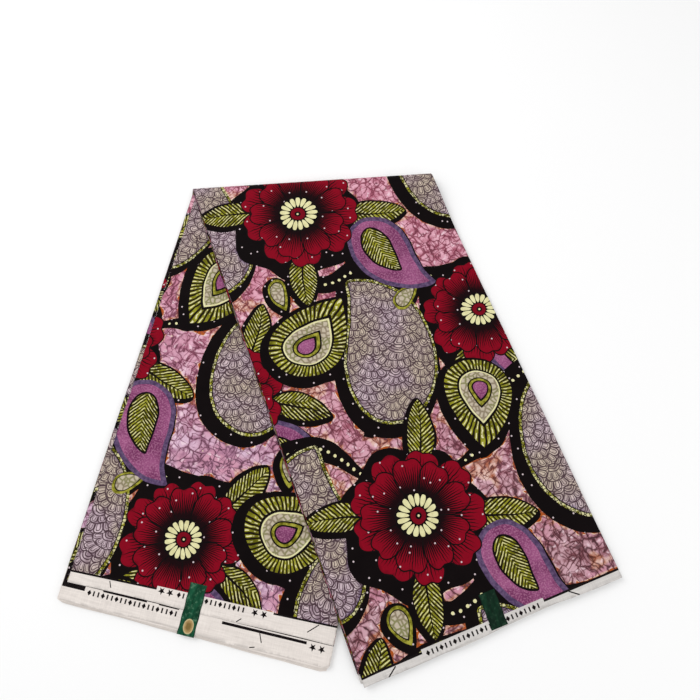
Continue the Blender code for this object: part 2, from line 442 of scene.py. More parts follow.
# %% Feather eyes, seed drops, leaves, paisleys and scale drops
def feather_eye(drawing, at, size, turn, bend):
    """A barbed drop round a mottled eye."""
    body = form("feather", size, bend)
    drawing.lay(grown(body, OUTLINE), "outline", at, turn)
    drawing.lay(body, "feather", at, turn, size)
    drops = ((0.660, "outline"), (0.600, "cream"), (0.560, "mottled beige"), (0.360, "outline"),
             (0.320, "leaf green"), (0.250, "outline"), (0.205, "magenta"))
    for share, ink in drops:
        foot = at + np.exp(1j * turn) * (bend * 0.40 * (1 - share) ** 2 + 0.66j * (1 - share)) * size
        drawing.lay(form("feather", size * share, bend), ink, foot, turn, size)


def seed_drop(drawing, at, size, turn, bend):
    """A small ringed drop."""
    for share, ink in ((1.0, "leaf green"), (0.80, "outline"), (0.72, "mottled beige")):
        foot = at + np.exp(1j * turn) * 1j * size * (1 - share) * 0.62
        drawing.lay(form("seed", size * share, bend), ink, foot, turn, size)


def leaf(drawing, at, size, turn, bend):
    """A bent, pointed leaf with a midrib."""
    body = form("leaf", size, bend)
    drawing.lay(grown(body, OUTLINE * 0.8), "outline", at, turn)
    drawing.lay(body, "leaf", at, turn, size)
    share = np.linspace(0, 0.96, 14)
    spine = bend * size * share ** 2 + 1j * size * share
    half = np.linspace(0.0017, 0.0003, 14)
    drawing.lay(np.concatenate([spine + half, (spine - half)[::-1]]), "outline", at, turn)


def paisley(drawing, at, size, turn, bend):
    """A curled drop in mottled magenta with a violet rim and a small leaf inside."""
    body = form("paisley", size, bend)
    drawing.lay(body, "violet rim", at, turn, size)
    drawing.lay(grown(body, -size * 0.042), "magenta", at, turn, size)
    inside = comma(size * 0.50, size * 0.23, 0.55, 0.90, bend * 0.5)
    start = at + np.exp(1j * turn) * 0.13j * size
    drawing.lay(grown(inside, OUTLINE * 1.6), "outline", start, turn)
    drawing.lay(inside, "leaf", start, turn, size * 0.50)


def scale_drop(drawing, at, size, turn, bend):
    """A large curled drop filled with scales, inside an olive band."""
    body = form("scale drop", size, bend)
    drawing.lay(grown(body, 0.0044), "barbed band", at, turn)
    drawing.lay(grown(body, OUTLINE * 0.7), "outline", at, turn)
    drawing.lay(body, "scales", at, turn)


MOTIFS = {
    "scale drop": scale_drop,
    "paisley": paisley,
    "feather": feather_eye,
    "leaf": leaf,
    "seed": seed_drop,
}
print("shapes in each motif:", {kind: shapes_in(draw, 0j, 0.1, 0.0, 0.1) for kind, draw in MOTIFS.items()})

# %% Vines
BEAD_STEP = 0.0095


def vine(drawing, points, widths):
    """A dark vine with a row of cream beads down its middle."""
    body, middle = ribbon(points, widths)
    drawing.lay_along(body, "dark ground", middle)
    passed = passed_along(middle)
    for place in np.arange(0.010, passed[-1] - 0.006, BEAD_STEP):
        at = np.interp(place, passed, middle.real) + 1j * np.interp(place, passed, middle.imag)
        room = np.interp(place / passed[-1], np.linspace(0, 1, len(widths)), widths)
        drawing.lay(disc(min(0.0020, room * 0.12), 18), "cream", at)


print("a vine of 0.1 m has", shapes_in(vine, *SHORT_VINE) - 1, "beads")

# %% [markdown]
# ### The repeat
#
# A printed cloth repeats: the same block of motifs comes back across and along it. The tables place the
# motifs of one block, in metres, and the loop lays every copy that reaches the panel. Ones further down the
# table cover those above.

# %% One block of the print
BLOCK_ACROSS = 0.340
BLOCK_ALONG = 0.420

ROSETTES = (
    {"at": 0.080 + 0.085j, "size": 0.074, "turn": radians(8)},
    {"at": 0.254 + 0.296j, "size": 0.067, "turn": radians(27)},
)
FIRST, SECOND = ROSETTES[0]["at"], ROSETTES[1]["at"]

PLACED = (
    {"kind": "scale drop", "at": 0.300 + 0.158j, "size": 0.200, "turn": 168, "bend": -1.10},
    {"kind": "scale drop", "at": 0.088 + 0.388j, "size": 0.198, "turn": -150, "bend": 1.20},
    {"kind": "leaf", "at": FIRST + toward(18, 0.058), "size": 0.084, "turn": -62, "bend": 0.16},
    {"kind": "leaf", "at": FIRST + toward(104, 0.056), "size": 0.078, "turn": 22, "bend": 0.15},
    {"kind": "leaf", "at": FIRST + toward(200, 0.054), "size": 0.078, "turn": 112, "bend": 0.15},
    {"kind": "leaf", "at": FIRST + toward(-66, 0.056), "size": 0.080, "turn": -150, "bend": 0.15},
    {"kind": "leaf", "at": SECOND + toward(128, 0.050), "size": 0.076, "turn": 34, "bend": 0.16},
    {"kind": "leaf", "at": SECOND + toward(-46, 0.050), "size": 0.078, "turn": -138, "bend": 0.15},
    {"kind": "leaf", "at": SECOND + toward(24, 0.052), "size": 0.074, "turn": -66, "bend": -0.15},
    {"kind": "seed", "at": 0.190 + 0.236j, "size": 0.044, "turn": 64, "bend": 0.10},
    {"kind": "seed", "at": 0.020 + 0.212j, "size": 0.046, "turn": 170, "bend": -0.10},
    {"kind": "paisley", "at": 0.160 + 0.122j, "size": 0.142, "turn": -2, "bend": 1.25},
    {"kind": "paisley", "at": 0.330 + 0.400j, "size": 0.138, "turn": 118, "bend": -1.20},
    {"kind": "feather", "at": 0.186 + 0.040j, "size": 0.110, "turn": -156, "bend": 0.10},
    {"kind": "feather", "at": 0.090 + 0.222j, "size": 0.118, "turn": 52, "bend": -0.10},
)
VINES = (
    {"points": (0.030 + 0.150j, 0.075 + 0.195j, 0.140 + 0.188j, 0.180 + 0.222j, 0.250 + 0.235j,
                0.320 + 0.225j),
     "widths": (0.010, 0.026, 0.034, 0.030, 0.024, 0.010)},
    {"points": (0.190 + 0.330j, 0.200 + 0.375j, 0.235 + 0.405j, 0.300 + 0.400j),
     "widths": (0.012, 0.030, 0.032, 0.010)},
    {"points": (0.320 + 0.270j, 0.350 + 0.300j, 0.400 + 0.310j, 0.425 + 0.355j, 0.400 + 0.400j),
     "widths": (0.012, 0.028, 0.034, 0.030, 0.012)},
    {"points": (0.150 + 0.050j, 0.205 + 0.030j, 0.250 - 0.020j, 0.330 - 0.030j, 0.385 + 0.030j),
     "widths": (0.010, 0.028, 0.036, 0.030, 0.010)},
)


def draw_block(drawing, at):
    """Lays one block of the print with its corner at a place on the cloth: vines, halos, then motifs."""
    for row in VINES:
        vine(drawing, [at + point for point in row["points"]], row["widths"])
    for row in PLACED:
        halo(row["kind"], drawing, at + row["at"], row["size"], radians(row["turn"]), row["bend"])
    for row in ROSETTES:
        rosette_halo(drawing, at + row["at"], row["size"], row["turn"])
    for row in PLACED:
        MOTIFS[row["kind"]](drawing, at + row["at"], row["size"], radians(row["turn"]), row["bend"])
    for row in ROSETTES:
        rosette(drawing, at + row["at"], row["size"], row["turn"])


def print_drawing(edge, start):
    """The print of a whole panel. Its first block begins at start, which differs from panel to panel."""
    drawing = Drawing()
    drawing.lay(grown(edge, 0.01), "crackle", ruled=True)
    for j in range(-2, 4):
        for i in range(-2, 3):
            draw_block(drawing, start + i * BLOCK_ACROSS + 1j * j * BLOCK_ALONG)
    return drawing


print("one block has", shapes_in(draw_block, 0j), "shapes")

# %% [markdown]
# ### The selvedge
#
# The edge of the loom's width is left white. A black line closes the print, and thick bars, thin lines and
# small ticks stand in the white, where the printer checks that the rollers meet. Rows of diamonds and posts,
# with stars at their ends, run between them.

# %% Selvedge marks
MARK_STEP = 0.0054
DIAMOND = np.array([0.0024, 0.0031j, -0.0024, -0.0031j])
POST = np.array([0.0009 + 0.0027j, -0.0009 + 0.0027j, -0.0009 - 0.0027j, 0.0009 - 0.0027j])


def bar(drawing, low, high, near, far, ink="black bar"):
    """A long bar across the strip, between two reaches. Each may be a pair, for the bar's two ends."""
    across = np.linspace(low, high, 24)
    share = (across - low) / (high - low)
    sides = [across + 1j * np.interp(share, (0, 1), np.broadcast_to(reach, 2)) for reach in (near, far)]
    drawing.lay(np.concatenate([sides[0], sides[1][::-1]]), ink, ruled=True)


def tick(drawing, start, end, width=0.0011):
    """A thin stroke between two places."""
    side = 1j * (end - start) / abs(end - start) * width / 2
    drawing.lay(np.array([start + side, end + side, end - side, start - side]), "black bar", ruled=True)


def star(radius):
    """A star with five points."""
    reach = np.where(np.arange(10) % 2 == 0, radius, radius * 0.42)
    return reach * np.exp(1j * (pi / 2 + pi * np.arange(10) / 5))


def mark_row(drawing, low, high, near, far, stars=()):
    """A plain border: a diamond and two short posts in turn. near and far are its reach at its two ends."""
    def middle(across):
        return across + 1j * (near + (far - near) * (across - low) / (high - low))

    for i, across in enumerate(np.arange(low, high, MARK_STEP)):
        drawing.lay(middle(across) + (POST if i % 3 else DIAMOND), "black bar", ruled=True)
    for across in stars:
        drawing.lay(middle(across) + star(0.0044), "black bar", ruled=True)


print("a row of 0.1 m has", len(np.arange(0, 0.1, MARK_STEP)), "marks")

# %% [markdown]
# ### Cutting the mesh along the drawing
#
# A constrained triangulation takes the outlines and a loose grid of extra points, and gives triangles that
# never cross an outline. For each triangle it says which outlines hold it, and the last of them is what
# shows. The grid gives the cloth enough points to bend over the fold and the creases.

# %% Cutting the print out of the cloth
BEND_REACH = 0.004  # how far in front of the fold line the points stay close together
BEND_STEP = 0.0012
SIDE_STEP = 0.0060
GRID = 0.006


def finely(outline, leg):
    """The outline with more points where a stretch is long or runs over the bend of the fold."""
    finished = []
    waiting = list(zip(outline, np.roll(outline, -1)))[::-1]
    while waiting:
        start, end = waiting.pop()
        at_bend = min(in_front(leg, z.real, z.imag) for z in (start, end)) < BEND_REACH
        if abs(end - start) > (BEND_STEP if at_bend else SIDE_STEP):
            middle = (start + end) / 2
            waiting += [(middle, end), (start, middle)]
        else:
            finished.append(start)
    return np.array(finished)


def cut_drawing(drawing, leg, edge, extra):
    """Triangles of a drawing inside an edge outline: points, triangles, and the shape that shows on each."""
    edge = finely(turned_left(edge), leg)
    low, high = edge.real.min() + 1j * edge.imag.min(), edge.real.max() + 1j * edge.imag.max()
    points = [Vector((z.real, z.imag)) for z in edge]
    faces = [list(range(len(points)))]
    used = [None]
    for index, shape in enumerate(drawing.shapes):
        outline = shape["outline"]
        if (outline.real.max() > low.real and outline.real.min() < high.real
                and outline.imag.max() > low.imag and outline.imag.min() < high.imag):
            outline = finely(outline, leg)
            faces.append(list(range(len(points), len(points) + len(outline))))
            points += [Vector((z.real, z.imag)) for z in outline]
            used.append(index)
    across = np.arange(low.real + GRID / 2, high.real, GRID)
    along = np.arange(low.imag + GRID / 2, high.imag, GRID)
    points += [Vector((u + (k % 2) * GRID / 3, v)) for k, v in enumerate(along) for u in across]
    points += [Vector((z.real, z.imag)) for z in extra]
    cut_points, _, cut_faces, _, _, holders = delaunay_2d_cdt(points, [], faces, 1, 1e-6)
    triangles, shows = [], []
    for face, holder in zip(cut_faces, holders):
        if 0 in holder and len(holder) > 1:
            triangles.append(face)
            shows.append(used[max(holder)])
    return np.array([p[0] + 1j * p[1] for p in cut_points]), triangles, shows


print("the cloth's points are up to", 1000 * GRID, "mm apart, and", 1000 * BEND_STEP, "mm round the fold")

# %% [markdown]
# Every piece here is a mesh made of points and faces, so one helper makes the object, one adds a UV map and
# one gives a sheet its thickness.

# %% Helpers for meshes
def new_piece(name, points, faces, materials):
    """A smooth object of points and faces at the origin, selected and active."""
    mesh = bpy.data.meshes.new(name)
    mesh.from_pydata(points, [], faces)
    for material in materials:
        mesh.materials.append(material)
    mesh.shade_smooth()
    piece = bpy.data.objects.new(name, mesh)
    bpy.context.scene.collection.objects.link(piece)
    bpy.ops.object.select_all(action="DESELECT")
    piece.select_set(True)
    bpy.context.view_layer.objects.active = piece
    return piece


def add_uv(piece, name, places):
    """Adds a UV map with a complex number for each corner of each face."""
    layer = piece.data.uv_layers.new(name=name)
    layer.data.foreach_set("uv", np.stack([places.real, places.imag], axis=1).ravel())


def thicken(piece, thickness):
    """Gives the active sheet its thickness, below the face that shows."""
    solidify = piece.modifiers.new("thickness", "SOLIDIFY")
    solidify.thickness = thickness
    solidify.offset = -1
    bpy.ops.object.modifier_apply(modifier=solidify.name)


# %% [markdown]
# A sheet keeps two UV maps: the place on the cloth, in metres, for weave and crackle, and the place in the
# motif. The cloth runs on over the fold, so the back leg's places count down from it. It also keeps a number
# called Rim, which is 1 along the outlines of the print and fades to 0 a few millimetres inside, because dye
# pools along the wax's edge.

# %% A sheet of printed cloth
def rim_numbers(count, triangles, inks):
    """1 for each point where two inks meet, and 0 for the others."""
    first = [None] * count
    rim = [0.0] * count
    for triangle, ink in zip(triangles, inks):
        for index in triangle:
            if first[index] is None:
                first[index] = ink
            elif first[index] != ink:
                rim[index] = 1.0
    return rim


def motif_places(drawing, shows, corner_place):
    """The place of each corner of each triangle, in the coordinates of the shape that shows there."""
    corner_shape = np.repeat(np.array(shows), 3)
    own = np.zeros(len(corner_place), dtype=complex)
    for index in set(shows):
        chosen = corner_shape == index
        own[chosen] = own_coordinates(drawing.shapes[index], corner_place[chosen])
    return own


def ink_shares(sheet, inks):
    """How much of a sheet each ink covers, in percent."""
    areas = dict.fromkeys(inks, 0.0)
    for face in sheet.data.polygons:
        areas[inks[face.material_index]] += face.area
    return {ink: round(100 * area / sum(areas.values())) for ink, area in areas.items()}


def sheet_object(name, leg, drawing, edge, depth, extra):
    """A thin printed sheet at a depth of the folded strip."""
    places, triangles, shows = cut_drawing(drawing, leg, edge, extra)
    wanted = sorted({index for triangle in triangles for index in triangle})
    renumber = {old: new for new, old in enumerate(wanted)}
    places = places[wanted]
    triangles = [[renumber[i] for i in triangle[::-1]] for triangle in triangles]
    ink_of = [drawing.shapes[index]["ink"] for index in shows]
    inks = sorted(set(ink_of))
    points = [in_frame(leg, place.real, place.imag, depth) for place in places]
    sheet = new_piece(name, points, triangles, [ink_material(ink) for ink in inks])
    sheet.data.polygons.foreach_set("material_index", [inks.index(ink) for ink in ink_of])
    rim = sheet.data.attributes.new("Rim", "FLOAT", "POINT")
    rim.data.foreach_set("value", rim_numbers(len(places), triangles, ink_of))
    corner_place = places[np.array(triangles).ravel()]
    add_uv(sheet, "Cloth", corner_place if leg == FRONT else corner_place.conjugate())
    add_uv(sheet, "Motif", motif_places(drawing, shows, corner_place))
    shares = ink_shares(sheet, inks)
    thicken(sheet, CLOTH)
    print(name, len(sheet.data.polygons), "faces, ink shares in %:", shares)
    return sheet


# %% [markdown]
# ## The inks as materials
#
# Each ink is one material. They all read the cloth's own UV map, in metres, so a crackle line or a dot has
# its real size, and the motif's UV map where a pattern follows the motif. Node trees written out one node at
# a time are hard to read, so a Wire stands for an output of a node, and arithmetic with it adds the math
# nodes. The functions below it are the few other nodes that the inks use.

# %% Wires between nodes
class Wire:
    """One output of a node. Arithmetic with it adds math nodes, so a formula is written as a formula."""

    def __init__(self, node, output=0):
        self.tree = node.id_data
        self.socket = node.outputs[output]

    def __add__(self, other):
        return calc("ADD", self, other)

    def __sub__(self, other):
        return calc("SUBTRACT", self, other)

    def __rsub__(self, other):
        return calc("SUBTRACT", other, self)

    def __mul__(self, other):
        return calc("MULTIPLY", self, other)

    def __truediv__(self, other):
        return calc("DIVIDE", self, other)

    def __abs__(self):
        return calc("ABSOLUTE", self)


def set_inputs(node, values):
    """Gives each named input of a node a number, a colour, a place or a wire."""
    for key, value in values.items():
        if isinstance(value, Wire):
            node.id_data.links.new(value.socket, node.inputs[key])
        else:
            node.inputs[key].default_value = value


def put(tree, kind, values, **settings):
    """Adds a node to a tree."""
    node = tree.nodes.new(kind)
    for key, value in settings.items():
        setattr(node, key, value)
    set_inputs(node, values)
    return node


def calc(operation, *values):
    """A math node on numbers and wires, or a vector math node if the first wire carries a place."""
    wire = next(value for value in values if isinstance(value, Wire))
    kind = "ShaderNodeMath" if wire.socket.type == "VALUE" else "ShaderNodeVectorMath"
    return Wire(put(wire.tree, kind, dict(enumerate(values)), operation=operation))


# %% Nodes for places
def split(place):
    """The first two coordinates of a place."""
    node = put(place.tree, "ShaderNodeSeparateXYZ", {0: place})
    return Wire(node, 0), Wire(node, 1)


def joined(across, along=0.0):
    """The place with these two coordinates."""
    return Wire(put(across.tree, "ShaderNodeCombineXYZ", {0: across, 1: along}))


def length_of(place):
    """Distance of a place from the middle."""
    return Wire(put(place.tree, "ShaderNodeVectorMath", {0: place}, operation="LENGTH"), "Value")


def noise(place, scale, detail=2.0, roughness=0.5, output="Fac"):
    """A cloudy number for each place, mostly between 0.3 and 0.7."""
    values = {"Vector": place, "Scale": scale, "Detail": detail, "Roughness": roughness}
    return Wire(put(place.tree, "ShaderNodeTexNoise", values), output)


def voronoi(place, scale, randomness=1.0, feature="DISTANCE_TO_EDGE"):
    """Distance to the line between two of a loose set of points, or with F1 to the nearest point."""
    values = {"Vector": place, "Scale": scale, "Randomness": randomness}
    settings = {"voronoi_dimensions": "2D", "feature": feature}
    return Wire(put(place.tree, "ShaderNodeTexVoronoi", values, **settings), "Distance")


def swayed(place, by, scale, amount, detail=2.0):
    """The place moved by a soft noise of another place."""
    sway = noise(by, scale, detail, output="Color") - (0.5, 0.5, 0.5)
    return place + sway * (amount, amount, amount)


# %% Nodes for masks and colours
def rising(value, low, high):
    """0 where the value is below low, 1 above high, and smooth between."""
    values = {"Value": value, "From Min": low, "From Max": high}
    return Wire(put(value.tree, "ShaderNodeMapRange", values, interpolation_type="SMOOTHSTEP"), "Result")


def falling(value, low, high):
    """1 where the value is below low, 0 above high, and smooth between."""
    return 1.0 - rising(value, low, high)


def near_value(value, at, width):
    """1 where a value is within a width of another, with soft edges."""
    return falling(abs(value - at), width * 0.6, width * 1.4)


def shade(red, green, blue):
    """A colour as seen on a screen, 0 to 255, as the linear numbers that Blender wants."""
    seen = [value / 255 for value in (red, green, blue)]
    return (*[v / 12.92 if v <= 0.04 else ((v + 0.055) / 1.055) ** 2.4 for v in seen], 1.0)


def blend(factor, first, second):
    """The first colour where the factor is 0, the second where it is 1."""
    return Wire(put(factor.tree, "ShaderNodeMix", {0: factor, 6: first, 7: second}, data_type="RGBA"), 2)


def coated(colour, *coats):
    """A colour under coats of others, laid in turn, each with its factor."""
    for factor, coat in coats:
        colour = blend(factor, colour, coat)
    return colour


print("a grey of 128 on a screen is", round(shade(128, 128, 128)[0], 3), "as a linear number")


# %% Node groups
def new_group(name, inputs, outputs, build):
    """A node group with named sockets. build takes a wire for each input and gives one for each output."""
    tree = bpy.data.node_groups.new(name, "ShaderNodeTree")
    for sockets, way in ((inputs, "INPUT"), (outputs, "OUTPUT")):
        for socket, kind in sockets.items():
            tree.interface.new_socket(name=socket, socket_type="NodeSocket" + kind, in_out=way)
    enter = tree.nodes.new("NodeGroupInput")
    results = build(*[Wire(enter, socket) for socket in inputs])
    put(tree, "NodeGroupOutput", dict(zip(outputs, results)))
    print("group", name, "with", len(tree.nodes), "nodes")
    return tree


def use_group(group, values):
    """The outputs of a node group, by name. All groups here take the place on the cloth."""
    node = put(values["Cloth"].tree, "ShaderNodeGroup", values, node_tree=group)
    return {output.name: Wire(node, output.name) for output in node.outputs}


# %% [markdown]
# ### What every ink shares
#
# Plain woven cotton: threads over and under each other, half a millimetre apart, some a little thicker than
# others. The group takes an ink's colour and gives it back with the threads' unevenness, and a normal and a
# roughness to go with it. Calendered cotton has a faint gloss on the tops of its threads.

# %% Woven cotton group
WARP_STEP = 0.00048
WEFT_STEP = 0.00052


def woven_cotton(cloth, colour):
    """The colour on the threads, their roughness and their normal."""
    across, along = split(cloth)
    weave = calc("SINE", across * (2 * pi / WARP_STEP)) * calc("SINE", along * (2 * pi / WEFT_STEP))
    warp = noise(cloth * (1.0, 0.06, 1.0), 1100.0, 1.0)
    weft = noise(cloth * (0.06, 1.0, 1.0), 1100.0, 1.0)
    slub = warp + weft
    tone = slub * 0.22 + (noise(cloth, 38.0, 3.0) * 0.16 + 0.70)
    uneven = put(cloth.tree, "ShaderNodeHueSaturation", {"Value": tone, "Color": colour})
    height = noise(cloth, 90.0, 3.0) * 9.0 + (weave * 0.35 + slub)
    bump = put(cloth.tree, "ShaderNodeBump", {"Height": height, "Strength": 0.55, "Distance": 0.00006})
    return Wire(uneven), slub * -0.10 + 0.82, Wire(bump)


WOVEN_COTTON = new_group("Woven cotton", {"Cloth": "Vector", "Colour": "Color"},
                         {"Colour out": "Color", "Roughness": "Float", "Normal": "Vector"}, woven_cotton)


# %% [markdown]
# The white dots on the dark and red parts are pinholes in the wax: small, round, and about as far apart as
# a finger is wide. A Voronoi texture gives the distance to the nearest of a loose set of points, and a dot
# is where that is small. The net of cracks is the other thing that a Voronoi texture gives, the distance to
# the line between two of its points. The long cracks that run through it lie where a stretched noise passes
# its middle value.

# %% White dots and wax veins groups
def white_dots(cloth):
    """A mask of the dots."""
    nearest = voronoi(cloth, 47.0, 0.80, "F1")
    return (falling(nearest, 0.036, 0.058),)


def veins(cloth, scale, width):
    """Lines where the wax cracked, as a sharp line and the soft halo round it."""
    place = swayed(swayed(cloth, cloth, 30.0, 0.026), cloth, 105.0, 0.0085)
    thick = width * rising(noise(cloth, 48.0), 0.24, 0.66)
    ratio = voronoi(place, scale) / (thick + 0.002)
    return falling(ratio, 0.6, 1.3), falling(ratio, 0.8, 3.4)


def long_cracks(cloth, heading, scale, width):
    """Long cracks that run one way, where the waxed cloth was crumpled."""
    values = {"Vector": swayed(cloth, cloth, 42.0, 0.012), "Angle": heading}
    turned = Wire(put(cloth.tree, "ShaderNodeVectorRotate", values, rotation_type="Z_AXIS"))
    ridges = noise(turned * (0.26, 1.0, 1.0), scale, 1.5, 0.6)
    thick = width * rising(noise(cloth, 64.0), 0.30, 0.66)
    ratio = abs(ridges - 0.5) / (thick + 0.0005)
    return falling(ratio, 0.6, 1.4), falling(ratio, 0.8, 4.0)


CRACK_MASKS = {"Line": "Float", "Halo": "Float"}
WHITE_DOTS = new_group("White dots", {"Cloth": "Vector"}, {"Mask": "Float"}, white_dots)
VEINS = new_group("Wax veins", {"Cloth": "Vector", "Scale": "Float", "Width": "Float"}, CRACK_MASKS, veins)
LONG_CRACKS = new_group(
    "Long cracks", {"Cloth": "Vector", "Heading": "Float", "Scale": "Float", "Width": "Float"},
    CRACK_MASKS, long_cracks)


# %% A material for an ink
def new_shader(name):
    """A new material, and its Principled shader."""
    material = bpy.data.materials.new(name)
    material.use_nodes = True
    return material, material.node_tree.nodes["Principled BSDF"]


def uv_place(tree, name):
    """The place in a UV map."""
    return Wire(put(tree, "ShaderNodeUVMap", {}, uv_map=name))


def ink_material(name):
    """The material of an ink, woven cotton in its pattern, made the first time that it is asked for."""
    if name in bpy.data.materials:
        return bpy.data.materials[name]
    material, shader = new_shader(name)
    cloth, motif = (uv_place(material.node_tree, label) for label in ("Cloth", "Motif"))
    cotton = use_group(WOVEN_COTTON, {"Cloth": cloth, "Colour": PATTERNS[name](cloth, motif)})
    set_inputs(shader, {
        "Base Color": cotton["Colour out"], "Roughness": cotton["Roughness"], "Normal": cotton["Normal"],
        "Sheen Weight": 0.015, "Sheen Roughness": 0.55, "Specular IOR Level": 0.04})
    print("ink", name, "with", len(material.node_tree.nodes), "nodes")
    return material


def rim_of(cloth):
    """1 along the outlines of the print, 0 a few millimetres inside."""
    return Wire(put(cloth.tree, "ShaderNodeAttribute", {}, attribute_name="Rim"), "Fac")


# %% [markdown]
# ### The crackled ground
#
# The pink ground is what wax printing is known for. The resin cracks before the dye bath, and the dye runs
# in along the cracks. So there are dark lines of uneven strength, a rosy halo where the dye spread, and paler
# cells between. Down the back leg the dye turns lilac, down the front leg it turns deeper and rusty, and near
# the outlines some cells stay cream or took a spot of orange.

# %% Crackle ink
def crackle(cloth, motif):
    """Pale cells between rosy halos and dark cracks."""
    reach = split(cloth)[1]
    elsewhere = cloth + (0.0, 2.0, 0.0)
    rim = rim_of(cloth)
    uneven = noise(cloth, 9.0) * 0.34
    cool = rising(uneven - reach, 0.24, 0.66)
    deep = rising(uneven + reach, 0.30, 0.72)
    warm = rising(noise(cloth, 17.0), 0.44, 0.62)
    rusty = rising(deep * 0.05 + (rim * 0.16 + noise(elsewhere, 24.0)), 0.61, 0.68)
    glint = rising(noise(elsewhere, 150.0, 1.0), 0.60, 0.68)
    spots = (calc("MAXIMUM", cool, deep) * 0.12 + rim) * 0.30 + noise(cloth, 62.0, 1.0)
    pale = coated(
        shade(222, 168, 184), (cool, shade(210, 180, 202)), (deep, shade(200, 160, 170)),
        (warm * 0.75, shade(200, 132, 154)), (rusty * 0.70, shade(224, 192, 172)))
    rosy = coated(
        shade(166, 90, 110), (cool, shade(158, 112, 138)), (deep, shade(128, 76, 84)),
        (rusty * 0.80, shade(168, 92, 54)))
    dark = coated(shade(98, 38, 54), (cool, shade(76, 40, 58)), (deep, shade(58, 26, 32)))
    mottle = rising(noise(cloth, 78.0, 3.0, 0.6), 0.30, 0.56)
    ground = coated(
        rosy, (mottle, pale), (glint * 0.55, shade(238, 214, 222)),
        (rising(spots, 0.745, 0.765), shade(232, 208, 182)),
        (rising(spots, 0.795, 0.815), shade(166, 80, 30)))
    kept = rising(noise(elsewhere, 30.0), 0.24, 0.48)
    broken = use_group(VEINS, {"Cloth": cloth, "Scale": 76.0, "Width": 0.074})
    first = use_group(LONG_CRACKS, {"Cloth": cloth, "Heading": 0.35, "Scale": 92.0, "Width": 0.015})
    second = use_group(LONG_CRACKS, {"Cloth": elsewhere, "Heading": 1.90, "Scale": 84.0, "Width": 0.016})
    for cracks, strength in ((broken, kept), (first, 0.92), (second, 0.84)):
        ground = coated(ground, (cracks["Halo"] * 0.58, rosy), (cracks["Line"] * strength * 0.86, dark))
    return ground


# %% [markdown]
# ### The scales
#
# The scales are a traditional fish scale pattern, drawn by hand as rows of little fans. Every row of discs
# lies over the row behind it, so for each point the nodes ask four rows in turn, from the back to the front,
# and keep the last disc that holds it. The distance from that disc's centre and the angle round it then draw
# two rings of petals, each a loop inside a loop.

# %% Scale ink
SCALE_RADIUS = 0.0310


def scale_row(place, step, found):
    """One row of discs: replaces the offset found so far where a disc of this row holds the point."""
    across, along = split(place)
    row = calc("FLOOR", along) + step
    turned = across - calc("MODULO", row + 400.0, 2.0)
    column = calc("ROUND", turned * 0.5) * 2.0
    offset = joined(turned - column, (along - row) * 0.5)
    inside = calc("LESS_THAN", length_of(offset), 1.0)
    return Wire(put(place.tree, "ShaderNodeMix", {0: inside, 4: found, 5: offset}, data_type="VECTOR"), 1)


def petal_ring(angle, radius, near, far, count):
    """Depth in a ring of round ended petals: 0 in a petal's middle, 1 at its rim, 2 outside the ring."""
    side = calc("PINGPONG", angle * (count / (2 * pi)), 0.5) * -2.0 + 1.0
    up = (radius - near) / (far - near)
    head = calc("MAXIMUM", up - 0.50, 0.0) * 2.0
    band = calc("GREATER_THAN", up, 0.0) * calc("LESS_THAN", up, 1.0)
    return (length_of(joined(side, head)) - 2.0) * band + 2.0


def scales(cloth, motif):
    """Taupe scales with dark lines, which turn violet along the rim."""
    place = swayed(swayed(motif, cloth, 22.0, 0.018), cloth, 170.0, 0.0020)
    unit = place * (1 / SCALE_RADIUS, 2 / SCALE_RADIUS, 1.0)
    found = (0.0, 0.5, 0.0)
    for step in (-1, 0, 1, 2):
        found = scale_row(unit, step, found)
    angle = calc("ARCTAN2", *split(found))
    radius = length_of(found)
    outer = petal_ring(angle, radius, 0.65, 0.98, 19)
    inner = petal_ring(angle, radius, 0.35, 0.61, 12)
    petal = calc("MINIMUM", outer, inner)
    line = calc("MAXIMUM", near_value(petal, 0.92, 0.13), near_value(petal, 0.42, 0.10))
    for at in (0.12, 0.21, 0.31, 0.63, 0.985):
        line = calc("MAXIMUM", line, near_value(radius, at, 0.020))
    patch = rising(noise(cloth, 13.0), 0.40, 0.60)
    base = blend(patch, shade(140, 124, 118), shade(142, 120, 132))
    pale = blend(patch, shade(200, 184, 166), shade(204, 184, 192))
    edge = rim_of(cloth) * rising(noise(cloth, 22.0), 0.42, 0.60)
    worn = rising(noise(cloth, 60.0), 0.20, 0.42)
    cloudy = rising(noise(cloth, 120.0, 3.0), 0.40, 0.66)
    return coated(
        base, (cloudy, pale), (falling(petal, 0.55, 0.85) * 0.55, pale),
        (edge * 0.75, shade(88, 70, 112)), (line * (worn * 0.45 + 0.50), shade(66, 46, 54)))


# %% [markdown]
# ### Petals, leaves and feathers
#
# These are stripes that follow the motif. The carved lines of a petal fan out from its foot and die away
# towards its tip. A leaf's veins slant from the midrib. A feather's barbs stand round its eye. In each, a
# little noise moves the stripes, because a block is cut by hand, and pale glints lie between the dark lines.

# %% Petal ink
def with_dots(cloth, colour):
    """The colour with white dots."""
    return blend(use_group(WHITE_DOTS, {"Cloth": cloth})["Mask"], colour, shade(206, 190, 194))


def crimson_petal(cloth, motif):
    """Red, darker at the foot and in the shadows of the rim, under carved lines."""
    across, along = split(motif)
    fan = noise(motif, 6.0) * 0.09 + across / (along * 0.55 + 0.12)
    ridge = calc("PINGPONG", fan, 0.056)
    reach = noise(joined(fan), 15.0) * 0.95 + 0.40
    line = rising((1.0 - along / reach) * 0.088 - ridge, -0.004, 0.004)
    shadow = rim_of(cloth) * rising(noise(cloth, 60.0), 0.45, 0.62)
    return with_dots(cloth, coated(
        shade(76, 3, 15), (rising(along, 0.05, 0.80), shade(130, 5, 28)), (shadow * 0.50, shade(70, 2, 14)),
        (line, shade(24, 6, 10))))


